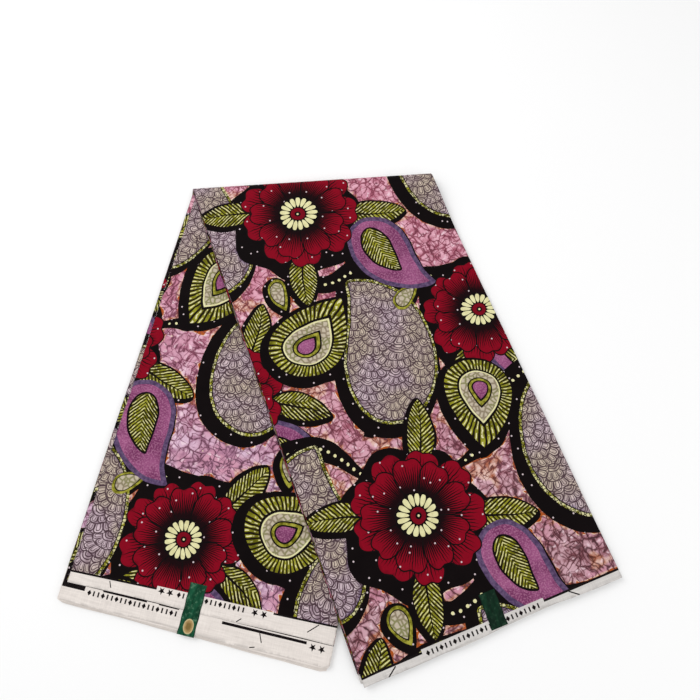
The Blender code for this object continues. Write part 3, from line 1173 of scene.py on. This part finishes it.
# %% Leaf and feather inks
CARVED = shade(26, 16, 12)


def glinting_olive(cloth, glint):
    """Olive, uneven as a dye is, with pale glints where the number is 1."""
    broken = rising(noise(cloth, 165.0), 0.46, 0.54)
    return coated(
        shade(92, 90, 14), (rising(noise(cloth, 55.0, 3.0), 0.30, 0.70), shade(152, 150, 42)),
        (broken * glint, shade(222, 216, 168)))


def leaf_ink(cloth, motif):
    """Veins that slant from a bent midrib."""
    across, along = split(motif)
    side = abs(across - calc("POWER", along, 2.0) * 0.15)
    slope = noise(motif, 7.0) * 0.05 + (along - side * 1.05)
    stripe = calc("PINGPONG", slope, 0.034)
    dark = rising(stripe - (side * -0.030 + 0.0220), -0.0020, 0.0020)
    return blend(dark, glinting_olive(cloth, calc("LESS_THAN", stripe, 0.0080)), CARVED)


def feather_ink(cloth, motif):
    """Barbs round the middle of the eye."""
    across, along = split(motif)
    angle = noise(motif, 6.0) * 0.16 + calc("ARCTAN2", across, along - 0.62)
    barb = calc("PINGPONG", angle, 0.064)
    olive = glinting_olive(cloth, calc("LESS_THAN", barb, 0.0145))
    return blend(rising(barb, 0.035, 0.040), olive, CARVED)


def barbed_band(cloth, motif):
    """Small olive cells between dark lines."""
    dark = falling(voronoi(cloth, 230.0, 0.5), 0.08, 0.14)
    return blend(dark, glinting_olive(cloth, 0.8), shade(30, 20, 16))


# %% [markdown]
# ### The plain inks
#
# Even the flat colours aren't flat: magenta and beige are mottled where the dye took unevenly, and the dark
# ground carries the white dots.

# %% Plain inks
def mottled(first, second, scale):
    """A pattern of two colours in small clouds."""
    def pattern(cloth, motif):
        return blend(rising(noise(cloth, scale, 4.0, 0.65), 0.38, 0.64), shade(*first), shade(*second))
    return pattern


def crimson_plain(cloth, motif):
    """Flat red."""
    return blend(noise(cloth, 200.0), shade(98, 5, 21), shade(130, 7, 29))


def stippled_magenta(cloth, motif):
    """Magenta in soft clouds, with a fine pale stipple."""
    return coated(
        shade(112, 50, 90), (rising(noise(cloth, 30.0, 3.0, 0.6), 0.36, 0.66), shade(150, 82, 124)),
        (rising(noise(cloth, 520.0), 0.46, 0.62) * 0.50, shade(184, 124, 156)))


def bubbled_beige(cloth, motif):
    """Beige with pale round blotches, a little green between them."""
    blotch = rising(voronoi(swayed(cloth, cloth, 120.0, 0.004), 170.0), 0.06, 0.30)
    return coated(
        shade(140, 126, 106), (rising(noise(cloth, 40.0), 0.40, 0.60), shade(132, 130, 88)),
        (blotch, shade(190, 178, 158)))


def dark_ground(cloth, motif):
    """The black between the motifs, with white dots."""
    return with_dots(cloth, blend(noise(cloth, 60.0), shade(8, 4, 5), shade(16, 9, 10)))


def selvedge_white(cloth, motif):
    """White cotton with the weft's streaks, greyer on the front leg, where less light falls."""
    grey = rising(split(cloth)[1], 0.2, 0.4)
    low = blend(grey, shade(210, 201, 195), shade(182, 177, 174))
    high = blend(grey, shade(240, 232, 225), shade(225, 221, 217))
    return blend(noise(cloth * (0.08, 1.0, 1.0), 420.0), low, high)


PATTERNS = {
    "crackle": crackle,
    "scales": scales,
    "crimson petal": crimson_petal,
    "crimson plain": crimson_plain,
    "leaf": leaf_ink,
    "feather": feather_ink,
    "leaf green": mottled((96, 94, 16), (164, 160, 62), 150.0),
    "barbed band": barbed_band,
    "dark ground": dark_ground,
    "outline": mottled((11, 6, 7), (21, 12, 14), 90.0),
    "cream": mottled((226, 222, 172), (212, 206, 154), 120.0),
    "mottled beige": bubbled_beige,
    "magenta": stippled_magenta,
    "violet rim": mottled((72, 54, 86), (104, 84, 116), 200.0),
    "selvedge": selvedge_white,
    "black bar": mottled((14, 10, 11), (26, 20, 21), 300.0),
}
print(len(PATTERNS), "inks")

# %% [markdown]
# ## The pieces
#
# Each leg's top panel is one printed sheet. The back one has a raw cut left side, a few millimetres inside
# the stack's folded one, so the panel below it shows along that side and at the selvedge.

# %% Sizes and edges of the sheets
BACK_LEFT = -STRIP / 2 + 0.0055
BACK_RIGHT = STRIP / 2 - 0.0010
SECOND_LEFT = -STRIP / 2 + 0.0006
SECOND_RIGHT = STRIP / 2 - 0.0005
FRONT_TURN = 1.74 * quarter_turn(THICK)  # how far each top panel goes round the fold
BACK_TURN = 1.50 * quarter_turn(0.0)
PAST_SIDE = 0.17  # where a bar ends that crosses the whole strip
FOLD_STEP = 0.0016
SIDE_INSETS = (0.0010, 0.0021, 0.0036)


def back_end(across):
    """Reach of the back leg's top panel."""
    return 0.5555 + 0.0005 * sin(across * 34 + 1.0)


def second_end(across):
    """Reach of the panel below it, whose right corner is folded round."""
    corner = eased((across - STRIP / 2 + 0.012) / 0.012) ** 2
    return 0.5768 + 0.0145 * across + 0.0007 * sin(across * 41) - 0.0030 * corner


def front_end(across):
    """Reach of the front leg's top panel, whose edge pulls in beside the label."""
    pulled = 0.0040 * exp(-((across - 0.042) / 0.034) ** 2)
    return 0.6008 + 0.0004 * sin(across * 52 + 0.5) - pulled


def fold_rows(leg, side, turn):
    """Extra points round the bend of the fold, so that it comes out round."""
    rows = np.arange(-turn + FOLD_STEP, BEND_REACH, FOLD_STEP)
    columns = np.linspace(-side, side, 60)
    return [across + 1j * reach_at(leg, across, row) for row in rows for across in columns]


def side_rows(left, right, near, far):
    """Extra points along the rounded long sides."""
    sides = [side for inset in SIDE_INSETS for side in (left + inset, right - inset)]
    return [side + 1j * reach for reach in np.arange(near, far, GRID) for side in sides]


def panel_edge(leg, left, right, start, end):
    """Outline of a panel: a slanted line at the fold, two straight sides, and the selvedge."""
    lower = [left + 1j * reach_at(leg, left, start), right + 1j * reach_at(leg, right, start)]
    upper = [across + 1j * end(across) for across in np.linspace(right, left, 50)]
    return np.concatenate([lower, upper])


print("the sheets are", [round(2 * FRONT_SIDE, 4), round(BACK_RIGHT - BACK_LEFT, 4)], "m wide")

# %% The front leg's top panel
front_edge = panel_edge(FRONT, -FRONT_SIDE, FRONT_SIDE, -FRONT_TURN, front_end)
front_drawing = print_drawing(front_edge, -0.115 - 0.050j)
bar(front_drawing, -PAST_SIDE, PAST_SIDE, 0.5902, 0.62)
bar(front_drawing, -PAST_SIDE, PAST_SIDE, 0.5926, 0.62, "selvedge")
bar(front_drawing, -0.0864, 0.0631, 0.5880, 0.5940, "selvedge")
mark_row(front_drawing, -0.0800, 0.0590, 0.5938, 0.5936)
tick(front_drawing, -0.1186 + 0.5932j, -0.1296 + 0.6008j, 0.0014)
tick(front_drawing, 0.0936 + 0.5922j, 0.1040 + 0.6000j, 0.0014)
front_extra = fold_rows(FRONT, FRONT_SIDE, FRONT_TURN) + side_rows(-FRONT_SIDE, FRONT_SIDE, 0.02, 0.59)
front_top = sheet_object("front_top_panel", FRONT, front_drawing, front_edge, THICK, front_extra)

# %% The back leg's top panel
back_edge = panel_edge(BACK, BACK_LEFT, BACK_RIGHT, -BACK_TURN, back_end)
back_drawing = print_drawing(back_edge, 0.048 - 0.232j)
bar(back_drawing, -PAST_SIDE, PAST_SIDE, (0.5428, 0.5348), 0.57)
bar(back_drawing, -PAST_SIDE, PAST_SIDE, (0.5450, 0.5368), 0.57, "selvedge")
bar(back_drawing, -0.0516, 0.0850, (0.5379, 0.5366), 0.55, "selvedge")
mark_row(back_drawing, -0.0250, 0.0550, 0.5420, 0.5414, (-0.0454, -0.0355, 0.0640, 0.0745))
tick(back_drawing, -0.1064 + 0.5445j, -0.1029 + 0.5513j)
tick(back_drawing, 0.1263 + 0.5482j, 0.1376 + 0.5382j)
tick(back_drawing, 0.0459 + 0.5550j, 0.0509 + 0.5504j)
back_extra = fold_rows(BACK, BACK_RIGHT, BACK_TURN) + side_rows(BACK_LEFT, BACK_RIGHT, 0.02, 0.53)
back_top = sheet_object("back_top_panel", BACK, back_drawing, back_edge, 0.0, back_extra)

# %% The panel below the back leg's top one
second_edge = panel_edge(BACK, SECOND_LEFT, SECOND_RIGHT, 0.0045, second_end)
second_drawing = print_drawing(second_edge, 0.205 - 0.120j)
bar(second_drawing, -PAST_SIDE, PAST_SIDE, 0.5546, 0.60)
bar(second_drawing, -0.1310, PAST_SIDE, 0.5560, 0.60, "selvedge")
bar(second_drawing, -0.1100, -0.0580, 0.5556, 0.5574)
bar(second_drawing, -0.0440, -0.0200, 0.5556, 0.5570)
bar(second_drawing, -PAST_SIDE, -0.1305, 0.5610, 0.60, "selvedge")
bar(second_drawing, 0.0309, 0.1285, 0.5574, 0.5604)
mark_row(second_drawing, -0.1250, -0.0180, 0.5614, 0.5616, (0.1360, 0.1462))
tick(second_drawing, 0.0750 + 0.5604j, 0.0792 + 0.5696j)
tick(second_drawing, 0.0730 + 0.5752j, 0.0672 + 0.5768j)
second_extra = side_rows(SECOND_LEFT, SECOND_RIGHT, 0.02, 0.57)
second_sheet = sheet_object("second_panel", BACK, second_drawing, second_edge, LAYER, second_extra)

# %% [markdown]
# ### The layers below
#
# The fifteen panels between and under them only show at their edges. So they are one closed block, built up
# of rings like a stack of plates: each ring is the rim of the strip at one depth. At the ends every layer has
# its own reach and its own lip. Along the long sides the layers are folded into each other in pairs, so two
# layers make one round fold, and the pairs on the left lie one layer lower than those on the right.

# %% Sizes of the layers
HIDDEN = 15
LIP = 0.0010
FOLD_BULGE = 0.00045
PLACES_IN_LAYER = (0.04, 0.28, 0.72, 0.96)
LEG_ROWS = 84
BEND_ROWS = 22
COLUMNS = 46
LEG_LENGTH = 0.58  # of either leg, to tell how far along it a place is

chance = random.Random(5)
LAYERS = [{
    "left": 0.5752 + 0.0026 * (k / (HIDDEN - 1)) + chance.uniform(-0.0008, 0.0008),
    "right": 0.5798 + 0.0042 * (k / (HIDDEN - 1)) ** 2 + chance.uniform(-0.0008, 0.0008),
    "front": 0.5978 + chance.uniform(-0.0022, 0.0022),
    "length": chance.uniform(0.07, 0.16),
    "start": chance.uniform(0, 2 * pi),
    "inset": chance.uniform(0.0, 0.0011),
} for k in range(HIDDEN)]
print("the layers' selvedges reach from", round(min(row["left"] for row in LAYERS), 4), "m")


# %% Ends, depths and sides of the layers
def layer_end(layer, leg, across):
    """Reach of a hidden layer's selvedge."""
    row = LAYERS[layer]
    slow = 0.0004 * sin(2 * pi * across / row["length"] + row["start"])
    corner = 0.0022 * eased((abs(across) - STRIP / 2 + 0.008) / 0.008) ** 2
    if leg == BACK:
        share = across / STRIP + 0.5
        return row["left"] + (row["right"] - row["left"]) * share + slow - corner
    peek = 0.0034 * exp(-((across + 0.035) / 0.040) ** 2) if layer >= HIDDEN - 2 else 0.0
    return row["front"] + slow + peek - corner


def held_between(value, first, last):
    """0 before the first value, 1 after the last one, and an even rise between."""
    return min(max((value - first) / (last - first), 0.0), 1.0)


def layer_depth(leg, share, part):
    """Depth of the block at a part of its thickness: it fills what the top panels leave."""
    if leg == BEND:
        inner = (1.1 * LAYER * (1 - held_between(share, 0.62, 0.85))
                 + 0.9 * LAYER * (1 - held_between(share, -1, -0.6)))
        outer = THICK - LAYER * (1 - held_between(share, -0.80, -0.90))
    else:
        inner, outer = (2 * LAYER, THICK) if leg == BACK else (0.0, THICK - LAYER)
    return inner + (outer - inner) * part


def side_inset(layer, place, side, run):
    """How far a layer's side lies inside the strip, at a place in its thickness."""
    pair = (layer + (side > 0)) // 2
    height = ((layer + (side > 0)) % 2 + place) / 2
    bulge = FOLD_BULGE * (1 - (1 - (2 * height - 1) ** 2) ** 0.5)
    row = LAYERS[(2 * pair + 5 * (side > 0)) % HIDDEN]
    return bulge + row["inset"] + 0.00025 * (1 + sin(run / row["length"] * 4 + row["start"]))


for leg in (BACK, FRONT):
    depths = [round(1000 * layer_depth(leg, 1, part), 2) for part in (0, 1)]
    print("the block lies", depths, "mm deep on leg", leg)


# %% Rings of the block
def block_rows():
    """Rows of the strip from the back selvedge to the front one: a leg and a share of its length."""
    shares = [i / LEG_ROWS for i in range(1, LEG_ROWS + 1)]
    bend = [(BEND, 2 * i / BEND_ROWS - 1) for i in range(BEND_ROWS + 1)]
    return [(BACK, share) for share in shares[::-1]] + bend + [(FRONT, share) for share in shares]


def block_point(row, column, layer, place):
    """A point of the block, with its place on the cloth."""
    leg, share = row
    side = 1 if column > COLUMNS / 2 else -1
    run = leg * share * LEG_LENGTH
    across = (column / COLUMNS * 2 - 1) * (STRIP / 2 - side_inset(layer, place, side, run))
    depth = layer_depth(leg, share, (layer + place) / HIDDEN)
    if leg == BEND:
        reach = reach_at(FRONT, across, (share - 1) * quarter_turn(depth))
        return in_frame(FRONT, across, reach, depth), across, reach
    lip = LIP if abs(place - 0.5) > 0.4 else 0.0
    end = layer_end(layer, leg, across) - lip
    reach = reach_at(leg, across, share * in_front(leg, across, end))
    return in_frame(leg, across, reach, depth), across, leg * reach


def block_mesh():
    """The hidden layers: whole faces at the inner and outer side, and rims between them."""
    rows = block_rows()
    last_row, last_column = len(rows) - 1, COLUMNS
    rim = ([(0, c) for c in range(last_column)] + [(r, last_column) for r in range(last_row)]
           + [(last_row, c) for c in range(last_column, 0, -1)] + [(r, 0) for r in range(last_row, 0, -1)])
    points, cloth, faces, kinds = [], [], [], []

    def add(r, c, layer, place):
        at, across, reach = block_point(rows[r], c, layer, place)
        points.append(at)
        cloth.append((across, reach, layer + place))
        return len(points) - 1

    caps = []
    for layer, place in ((0, PLACES_IN_LAYER[0]), (HIDDEN - 1, PLACES_IN_LAYER[-1])):
        caps.append([[add(r, c, layer, place) for c in range(COLUMNS + 1)] for r in range(len(rows))])
    for cap, turned in zip(caps, (False, True)):
        for r in range(last_row):
            for c in range(last_column):
                face = (cap[r][c], cap[r][c + 1], cap[r + 1][c + 1], cap[r + 1][c])
                faces.append(face if turned else face[::-1])
                kinds.append("cap")
    levels = [(layer, place) for layer in range(HIDDEN) for place in PLACES_IN_LAYER][1:-1]
    rings = [[caps[0][r][c] for r, c in rim]]
    rings += [[add(r, c, layer, place) for r, c in rim] for layer, place in levels]
    rings.append([caps[1][r][c] for r, c in rim])
    for ring, following in zip(rings, rings[1:]):
        for i, (r, c) in enumerate(rim):
            j = (i + 1) % len(rim)
            faces.append((ring[i], ring[j], following[j], following[i]))
            kinds.append("side" if c in (0, last_column) and 0 < r < last_row else "end")
    return points, cloth, faces, kinds


print("a cap of the block has", len(block_rows()), "rows of", COLUMNS + 1, "points")

# %% [markdown]
# Along the long sides the folds show the print end on, as short runs of colour, and no two layers have the
# same ones. That needs no drawing: a noise along the cloth, started anew for each layer, picks the ink. The
# block's motif map holds the layer's number for that.

# %% Inks of the layers' edges
EDGE_INKS = (
    {"colour": (168, 118, 138), "above": 0.58},
    {"colour": (124, 5, 28), "above": 0.57},
    {"colour": (122, 106, 112), "above": 0.58},
    {"colour": (104, 102, 26), "above": 0.61},
)


def folded_edges(cloth, motif):
    """Runs of the print's colours, and white past the end of the print on either leg."""
    reach = split(cloth)[1]
    run = joined(reach, calc("FLOOR", split(motif)[0]) * 3.7)
    # The near black between the runs is partly the print's dark ground and partly painted shade on the
    # stack's sides.
    colour = shade(14, 8, 10)
    for i, row in enumerate(EDGE_INKS):
        cloud = noise(run + (0.37 * i, 1.7 * i, 0.0), 44.0 + 9 * i, 1.0)
        shown = rising(cloud, row["above"] - 0.004, row["above"] + 0.004)
        colour = blend(shown, colour, shade(*row["colour"]))
    past_back = rising(abs(reach), 0.5395, 0.5405) * (1.0 - calc("GREATER_THAN", reach, 0.0))
    past_front = rising(reach, 0.5905, 0.5915)
    return blend(past_back + past_front, colour, selvedge_white(cloth, motif))


PATTERNS["folded edges"] = folded_edges
print(len(EDGE_INKS), "inks on the layers' edges, on black")

# %% The block of hidden layers
points, cloth, faces, kinds = block_mesh()
layers = new_piece("layers", points, faces, [ink_material(ink) for ink in ("folded edges", "selvedge")])
layers.data.polygons.foreach_set("material_index", [1 if kind == "end" else 0 for kind in kinds])
across, reach, layer = np.array([cloth[corner] for face in faces for corner in face]).T
add_uv(layers, "Cloth", across + 1j * reach)
add_uv(layers, "Motif", layer + 1j * reach)
bpy.ops.object.shade_smooth_by_angle(angle=radians(40))
print("layers", len(layers.data.polygons), "faces")

# %% [markdown]
# ### The raw edge
#
# The top panel of the back leg was cut from the bolt along its left side, and cut cotton frays. Loose threads
# stand out of the edge, each a tapered tube of three sides, and longer ones lie along it.

# %% One thread
def thread(points, width):
    """Corners and faces of a three sided tube that ends in a point."""
    corners, faces = [], []
    for i, point in enumerate(points[:-1]):
        heading = (points[i + 1] - point).normalized()
        side = heading.cross(Vector((0, 0, 1))).normalized()
        up = side.cross(heading)
        size = width / 2 * (1 - 0.5 * i / (len(points) - 1))
        for turn in (radians(-30), radians(90), radians(210)):
            corners.append(point + size * (side * cos(turn) + up * sin(turn)))
    corners.append(points[-1])
    for i in range(len(points) - 2):
        for k in range(3):
            a, b = 3 * i + k, 3 * i + (k + 1) % 3
            faces.append((a, b, b + 3, a + 3))
    tip = len(corners) - 1
    faces += [(tip - 3 + k, tip - 3 + (k + 1) % 3, tip) for k in range(3)]
    faces.append((2, 1, 0))
    return corners, faces


straight = [Vector((0.0, 0.001 * i, 0.0)) for i in range(5)]
print("a thread through five points has", len(thread(straight, 0.0002)[1]), "faces")


# %% Threads along the raw edge
def raw_edge_threads(count):
    """Corners and faces of the threads along the back leg's raw side. Every ninth is a long one."""
    hand = random.Random(11)
    corners, faces = [], []
    for i in range(count):
        reach = hand.uniform(0.06, 0.554)
        long = hand.uniform(0.0012, 0.0034) if i % 9 else hand.uniform(0.006, 0.013)
        lean = hand.uniform(-0.9, 0.9) if i % 9 else hand.choice((-1.45, 1.45))
        path = []
        for step in range(5):
            share = step / 4
            across = BACK_LEFT + 0.0004 - long * share * cos(lean)
            along = reach + long * share * sin(lean) + 0.0004 * sin(3 * share + i)
            x, y, z = in_frame(BACK, across, along, 0.0)
            settle = 0.00012 - 0.00030 * eased(share * 1.5)
            path.append(Vector((x, y, z + settle + 0.0002 * sin(2.6 * share) * (i % 3))))
        new_corners, new_faces = thread(path, hand.uniform(0.00016, 0.00026))
        faces += [tuple(len(corners) + k for k in face) for face in new_faces]
        corners += new_corners
    return corners, faces


def thread_material():
    """Loose cotton, from pale pink to white."""
    material, shader = new_shader("loose threads")
    place = Wire(put(material.node_tree, "ShaderNodeTexCoord", {}), "Object")
    colour = blend(rising(noise(place, 90.0), 0.44, 0.56), shade(196, 176, 184), shade(236, 230, 226))
    set_inputs(shader, {"Base Color": colour, "Roughness": 0.9})
    return material


threads = new_piece("raw_edge_threads", *raw_edge_threads(260), [thread_material()])
print("threads", len(threads.data.polygons), "faces")

# %% [markdown]
# ### The labels
#
# A strip of thin green film is stuck over each selvedge. It bridges the step from one layer to the next, and
# it isn't quite flat, because the cloth under it gives. A grid is laid along the leg, lifted a little, and
# crumpled by a few soft waves.

# %% Sizes of the labels
BACK_LABEL = {"across": -0.0060, "wide": 0.0195, "start": 0.5260, "end": 0.5808, "skew": 0.0006}
FRONT_LABEL = {"across": 0.0060, "wide": 0.0195, "start": 0.5597, "end": 0.5985, "skew": -0.0010}
FILM = 0.00012  # thickness
LIFT = 0.00024  # above the cloth
LABEL_COLUMNS = 14
LABEL_ROWS = 44
for row in (BACK_LABEL, FRONT_LABEL):
    print("a label of", 1000 * row["wide"], "by", round(1000 * (row["end"] - row["start"]), 1), "mm")


# %% A crumpled strip
def label_depth(leg, across, reach):
    """Depth of what a label lies on. On the back leg it bridges the step to the second panel."""
    if leg == FRONT:
        return THICK
    past_top = held_between(reach, back_end(across) - 0.0004, back_end(across) + 0.0030)
    past_second = held_between(reach, second_end(across) - 0.0002, second_end(across) + 0.0035)
    return LAYER * past_top + 2 * LAYER * past_second


def label_object(name, leg, sizes, material):
    """A crumpled strip of film across the selvedge."""
    points, places, faces = [], [], []
    long = sizes["end"] - sizes["start"]
    for r in range(LABEL_ROWS + 1):
        for c in range(LABEL_COLUMNS + 1):
            u, v = c / LABEL_COLUMNS - 0.5, r / LABEL_ROWS
            reach = sizes["start"] + long * v
            across = sizes["across"] + sizes["wide"] * u + sizes["skew"] * v
            across += 0.00025 * sin(19 * v + 2) * (1 if u > 0 else -1) * abs(2 * u)
            x, y, z = in_frame(leg, across, reach, label_depth(leg, across, reach))
            crumple = (0.00012 * sin(5 * u + 13 * v) + 0.00008 * sin(21 * v - 9 * u)
                       + 0.00003 * sin(11 * u + 41 * v))
            points.append((x, y, z + LIFT + crumple))
            places.append(sizes["wide"] * u + 1j * long * v)
    for r in range(LABEL_ROWS):
        for c in range(LABEL_COLUMNS):
            a = r * (LABEL_COLUMNS + 1) + c
            faces.append((a + LABEL_COLUMNS + 1, a + LABEL_COLUMNS + 2, a + 1, a))
    label = new_piece(name, points, faces, [material])
    add_uv(label, "Label", np.array([places[corner] for face in faces for corner in face]))
    thicken(label, FILM)
    print(name, len(label.data.polygons), "faces")
    return label


# %% Green film
OVAL_MIDDLE = (0.0008, 0.0448, 0.0)
OVAL_SIZE = (0.0060, 0.0080)


def gold_oval(place, green):
    """The green with a plain gold oval on it, olive in its middle and pale along its rim."""
    round_place = (place - OVAL_MIDDLE) * (1 / OVAL_SIZE[0], 1 / OVAL_SIZE[1], 1.0)
    size = length_of(swayed(round_place, place, 260.0, 0.08))
    gold = coated(
        shade(140, 108, 64), (noise(place, 420.0, 3.0), shade(188, 160, 108)),
        (falling(size, 0.34, 0.72) * 0.75, shade(104, 86, 40)),
        (rising(size, 0.78, 0.86) * 0.6, shade(206, 192, 148)))
    return blend(falling(size, 0.95, 1.02), green, gold)


def green_film(name, shades, scuffed, with_oval):
    """Dark green printed film, a little worn and blotched, and darker along its sides."""
    material, shader = new_shader(name)
    place = uv_place(material.node_tree, "Label")
    blotch = rising(noise(place * (1.0, 0.35, 1.0), 150.0, 3.0, 0.6), 0.36, 0.66)
    scuff = rising(noise(place, 150.0, 4.0, 0.7), 0.50, 0.66)
    green = coated(
        shade(*shades[0]), (blotch, shade(*shades[1])), (scuff * scuffed, shade(104, 146, 118)),
        (rising(abs(split(place)[0]), 0.0082, 0.0092) * 0.6, shade(8, 30, 20)))
    height = noise(place, 90.0, 1.0)
    bump = put(place.tree, "ShaderNodeBump", {"Height": height, "Strength": 0.15, "Distance": 0.0002})
    set_inputs(shader, {
        "Base Color": gold_oval(place, green) if with_oval else green, "Normal": Wire(bump),
        "Roughness": noise(place, 160.0, 3.0) * 0.25 + 0.34, "Specular IOR Level": 0.08})
    return material


back_film = green_film("green film with oval", ((8, 54, 34), (22, 82, 56)), 0.55, True)
front_film = green_film("green film", ((2, 28, 16), (8, 46, 28)), 0.10, False)
back_label = label_object("back_green_label", BACK, BACK_LABEL, back_film)
front_label = label_object("front_green_label", FRONT, FRONT_LABEL, front_film)

# %% [markdown]
# ### What the pieces stand for
#
# Five of the pieces replace the frame's solids of the same place, which are hidden, and all of them are
# attached to one body.

# %% Declarations
PIECES = (front_top, back_top, second_sheet, layers, threads, back_label, front_label)
for piece in PIECES:
    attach(piece, "root")
for piece, node in ((front_top, "front_panel"), (back_top, "back_panel"), (layers, "hidden_layers"),
                    (back_label, "back_label"), (front_label, "front_label")):
    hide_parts(node)
print("declared", ", ".join(piece.name for piece in PIECES))

# %% [markdown]
# ## Floor, light and camera
#
# A pale floor and large soft lamps give the even light of a shop photo. The camera looks down at 74 degrees
# from 0.7 m with a 28 mm lens, a little from the left.

# %% Floor and world
bpy.ops.object.select_all(action="DESELECT")
bpy.ops.mesh.primitive_plane_add(size=6, location=(0, 0, 0))
floor = bpy.context.object
floor.name = "floor"
paper, paper_shader = new_shader("pale floor")
set_inputs(paper_shader, {"Base Color": (0.95, 0.95, 0.95, 1), "Roughness": 0.9})
floor.data.materials.append(paper)

world = bpy.data.worlds.new("studio")
world.use_nodes = True
set_inputs(world.node_tree.nodes["Background"], {"Color": (1.0, 1.0, 1.0, 1), "Strength": 0.70})
bpy.context.scene.world = world
print("floor", floor.name, "and world", world.name)

# %% Lamps
LAMPS = (
    {"name": "key", "place": (-0.9, 0.9, 1.3), "size": 1.1, "power": 13},
    {"name": "fill", "place": (1.1, -0.6, 1.4), "size": 1.4, "power": 6.5},
)
for row in LAMPS:
    lamp = bpy.data.lights.new(row["name"], "AREA")
    lamp.size = row["size"]
    lamp.energy = row["power"]
    light = bpy.data.objects.new(row["name"], lamp)
    light.location = row["place"]
    light.rotation_euler = (Vector((0, 0, 0)) - Vector(row["place"])).to_track_quat("-Z", "Y").to_euler()
    bpy.context.scene.collection.objects.link(light)
    print("lamp", row["name"], row["power"], "W")

# %% Camera
PITCH = radians(74.29)
YAW = radians(4.23)
DISTANCE = 0.7028
AIM = Vector((0.0360, -0.2368, 0.0)) + ORIGIN
lens = bpy.data.cameras.new("photo camera")
lens.lens = 28.0
lens.sensor_width = 36.0
camera = bpy.data.objects.new("photo camera", lens)
looking = Vector((sin(YAW) * cos(PITCH), cos(YAW) * cos(PITCH), -sin(PITCH)))
camera.location = AIM - looking * DISTANCE
camera.rotation_euler = (pi / 2 - PITCH, 0.0, -YAW)
bpy.context.scene.collection.objects.link(camera)
bpy.context.scene.camera = camera
bpy.context.scene.view_settings.view_transform = "Standard"
print("camera at", [round(v, 3) for v in camera.location])
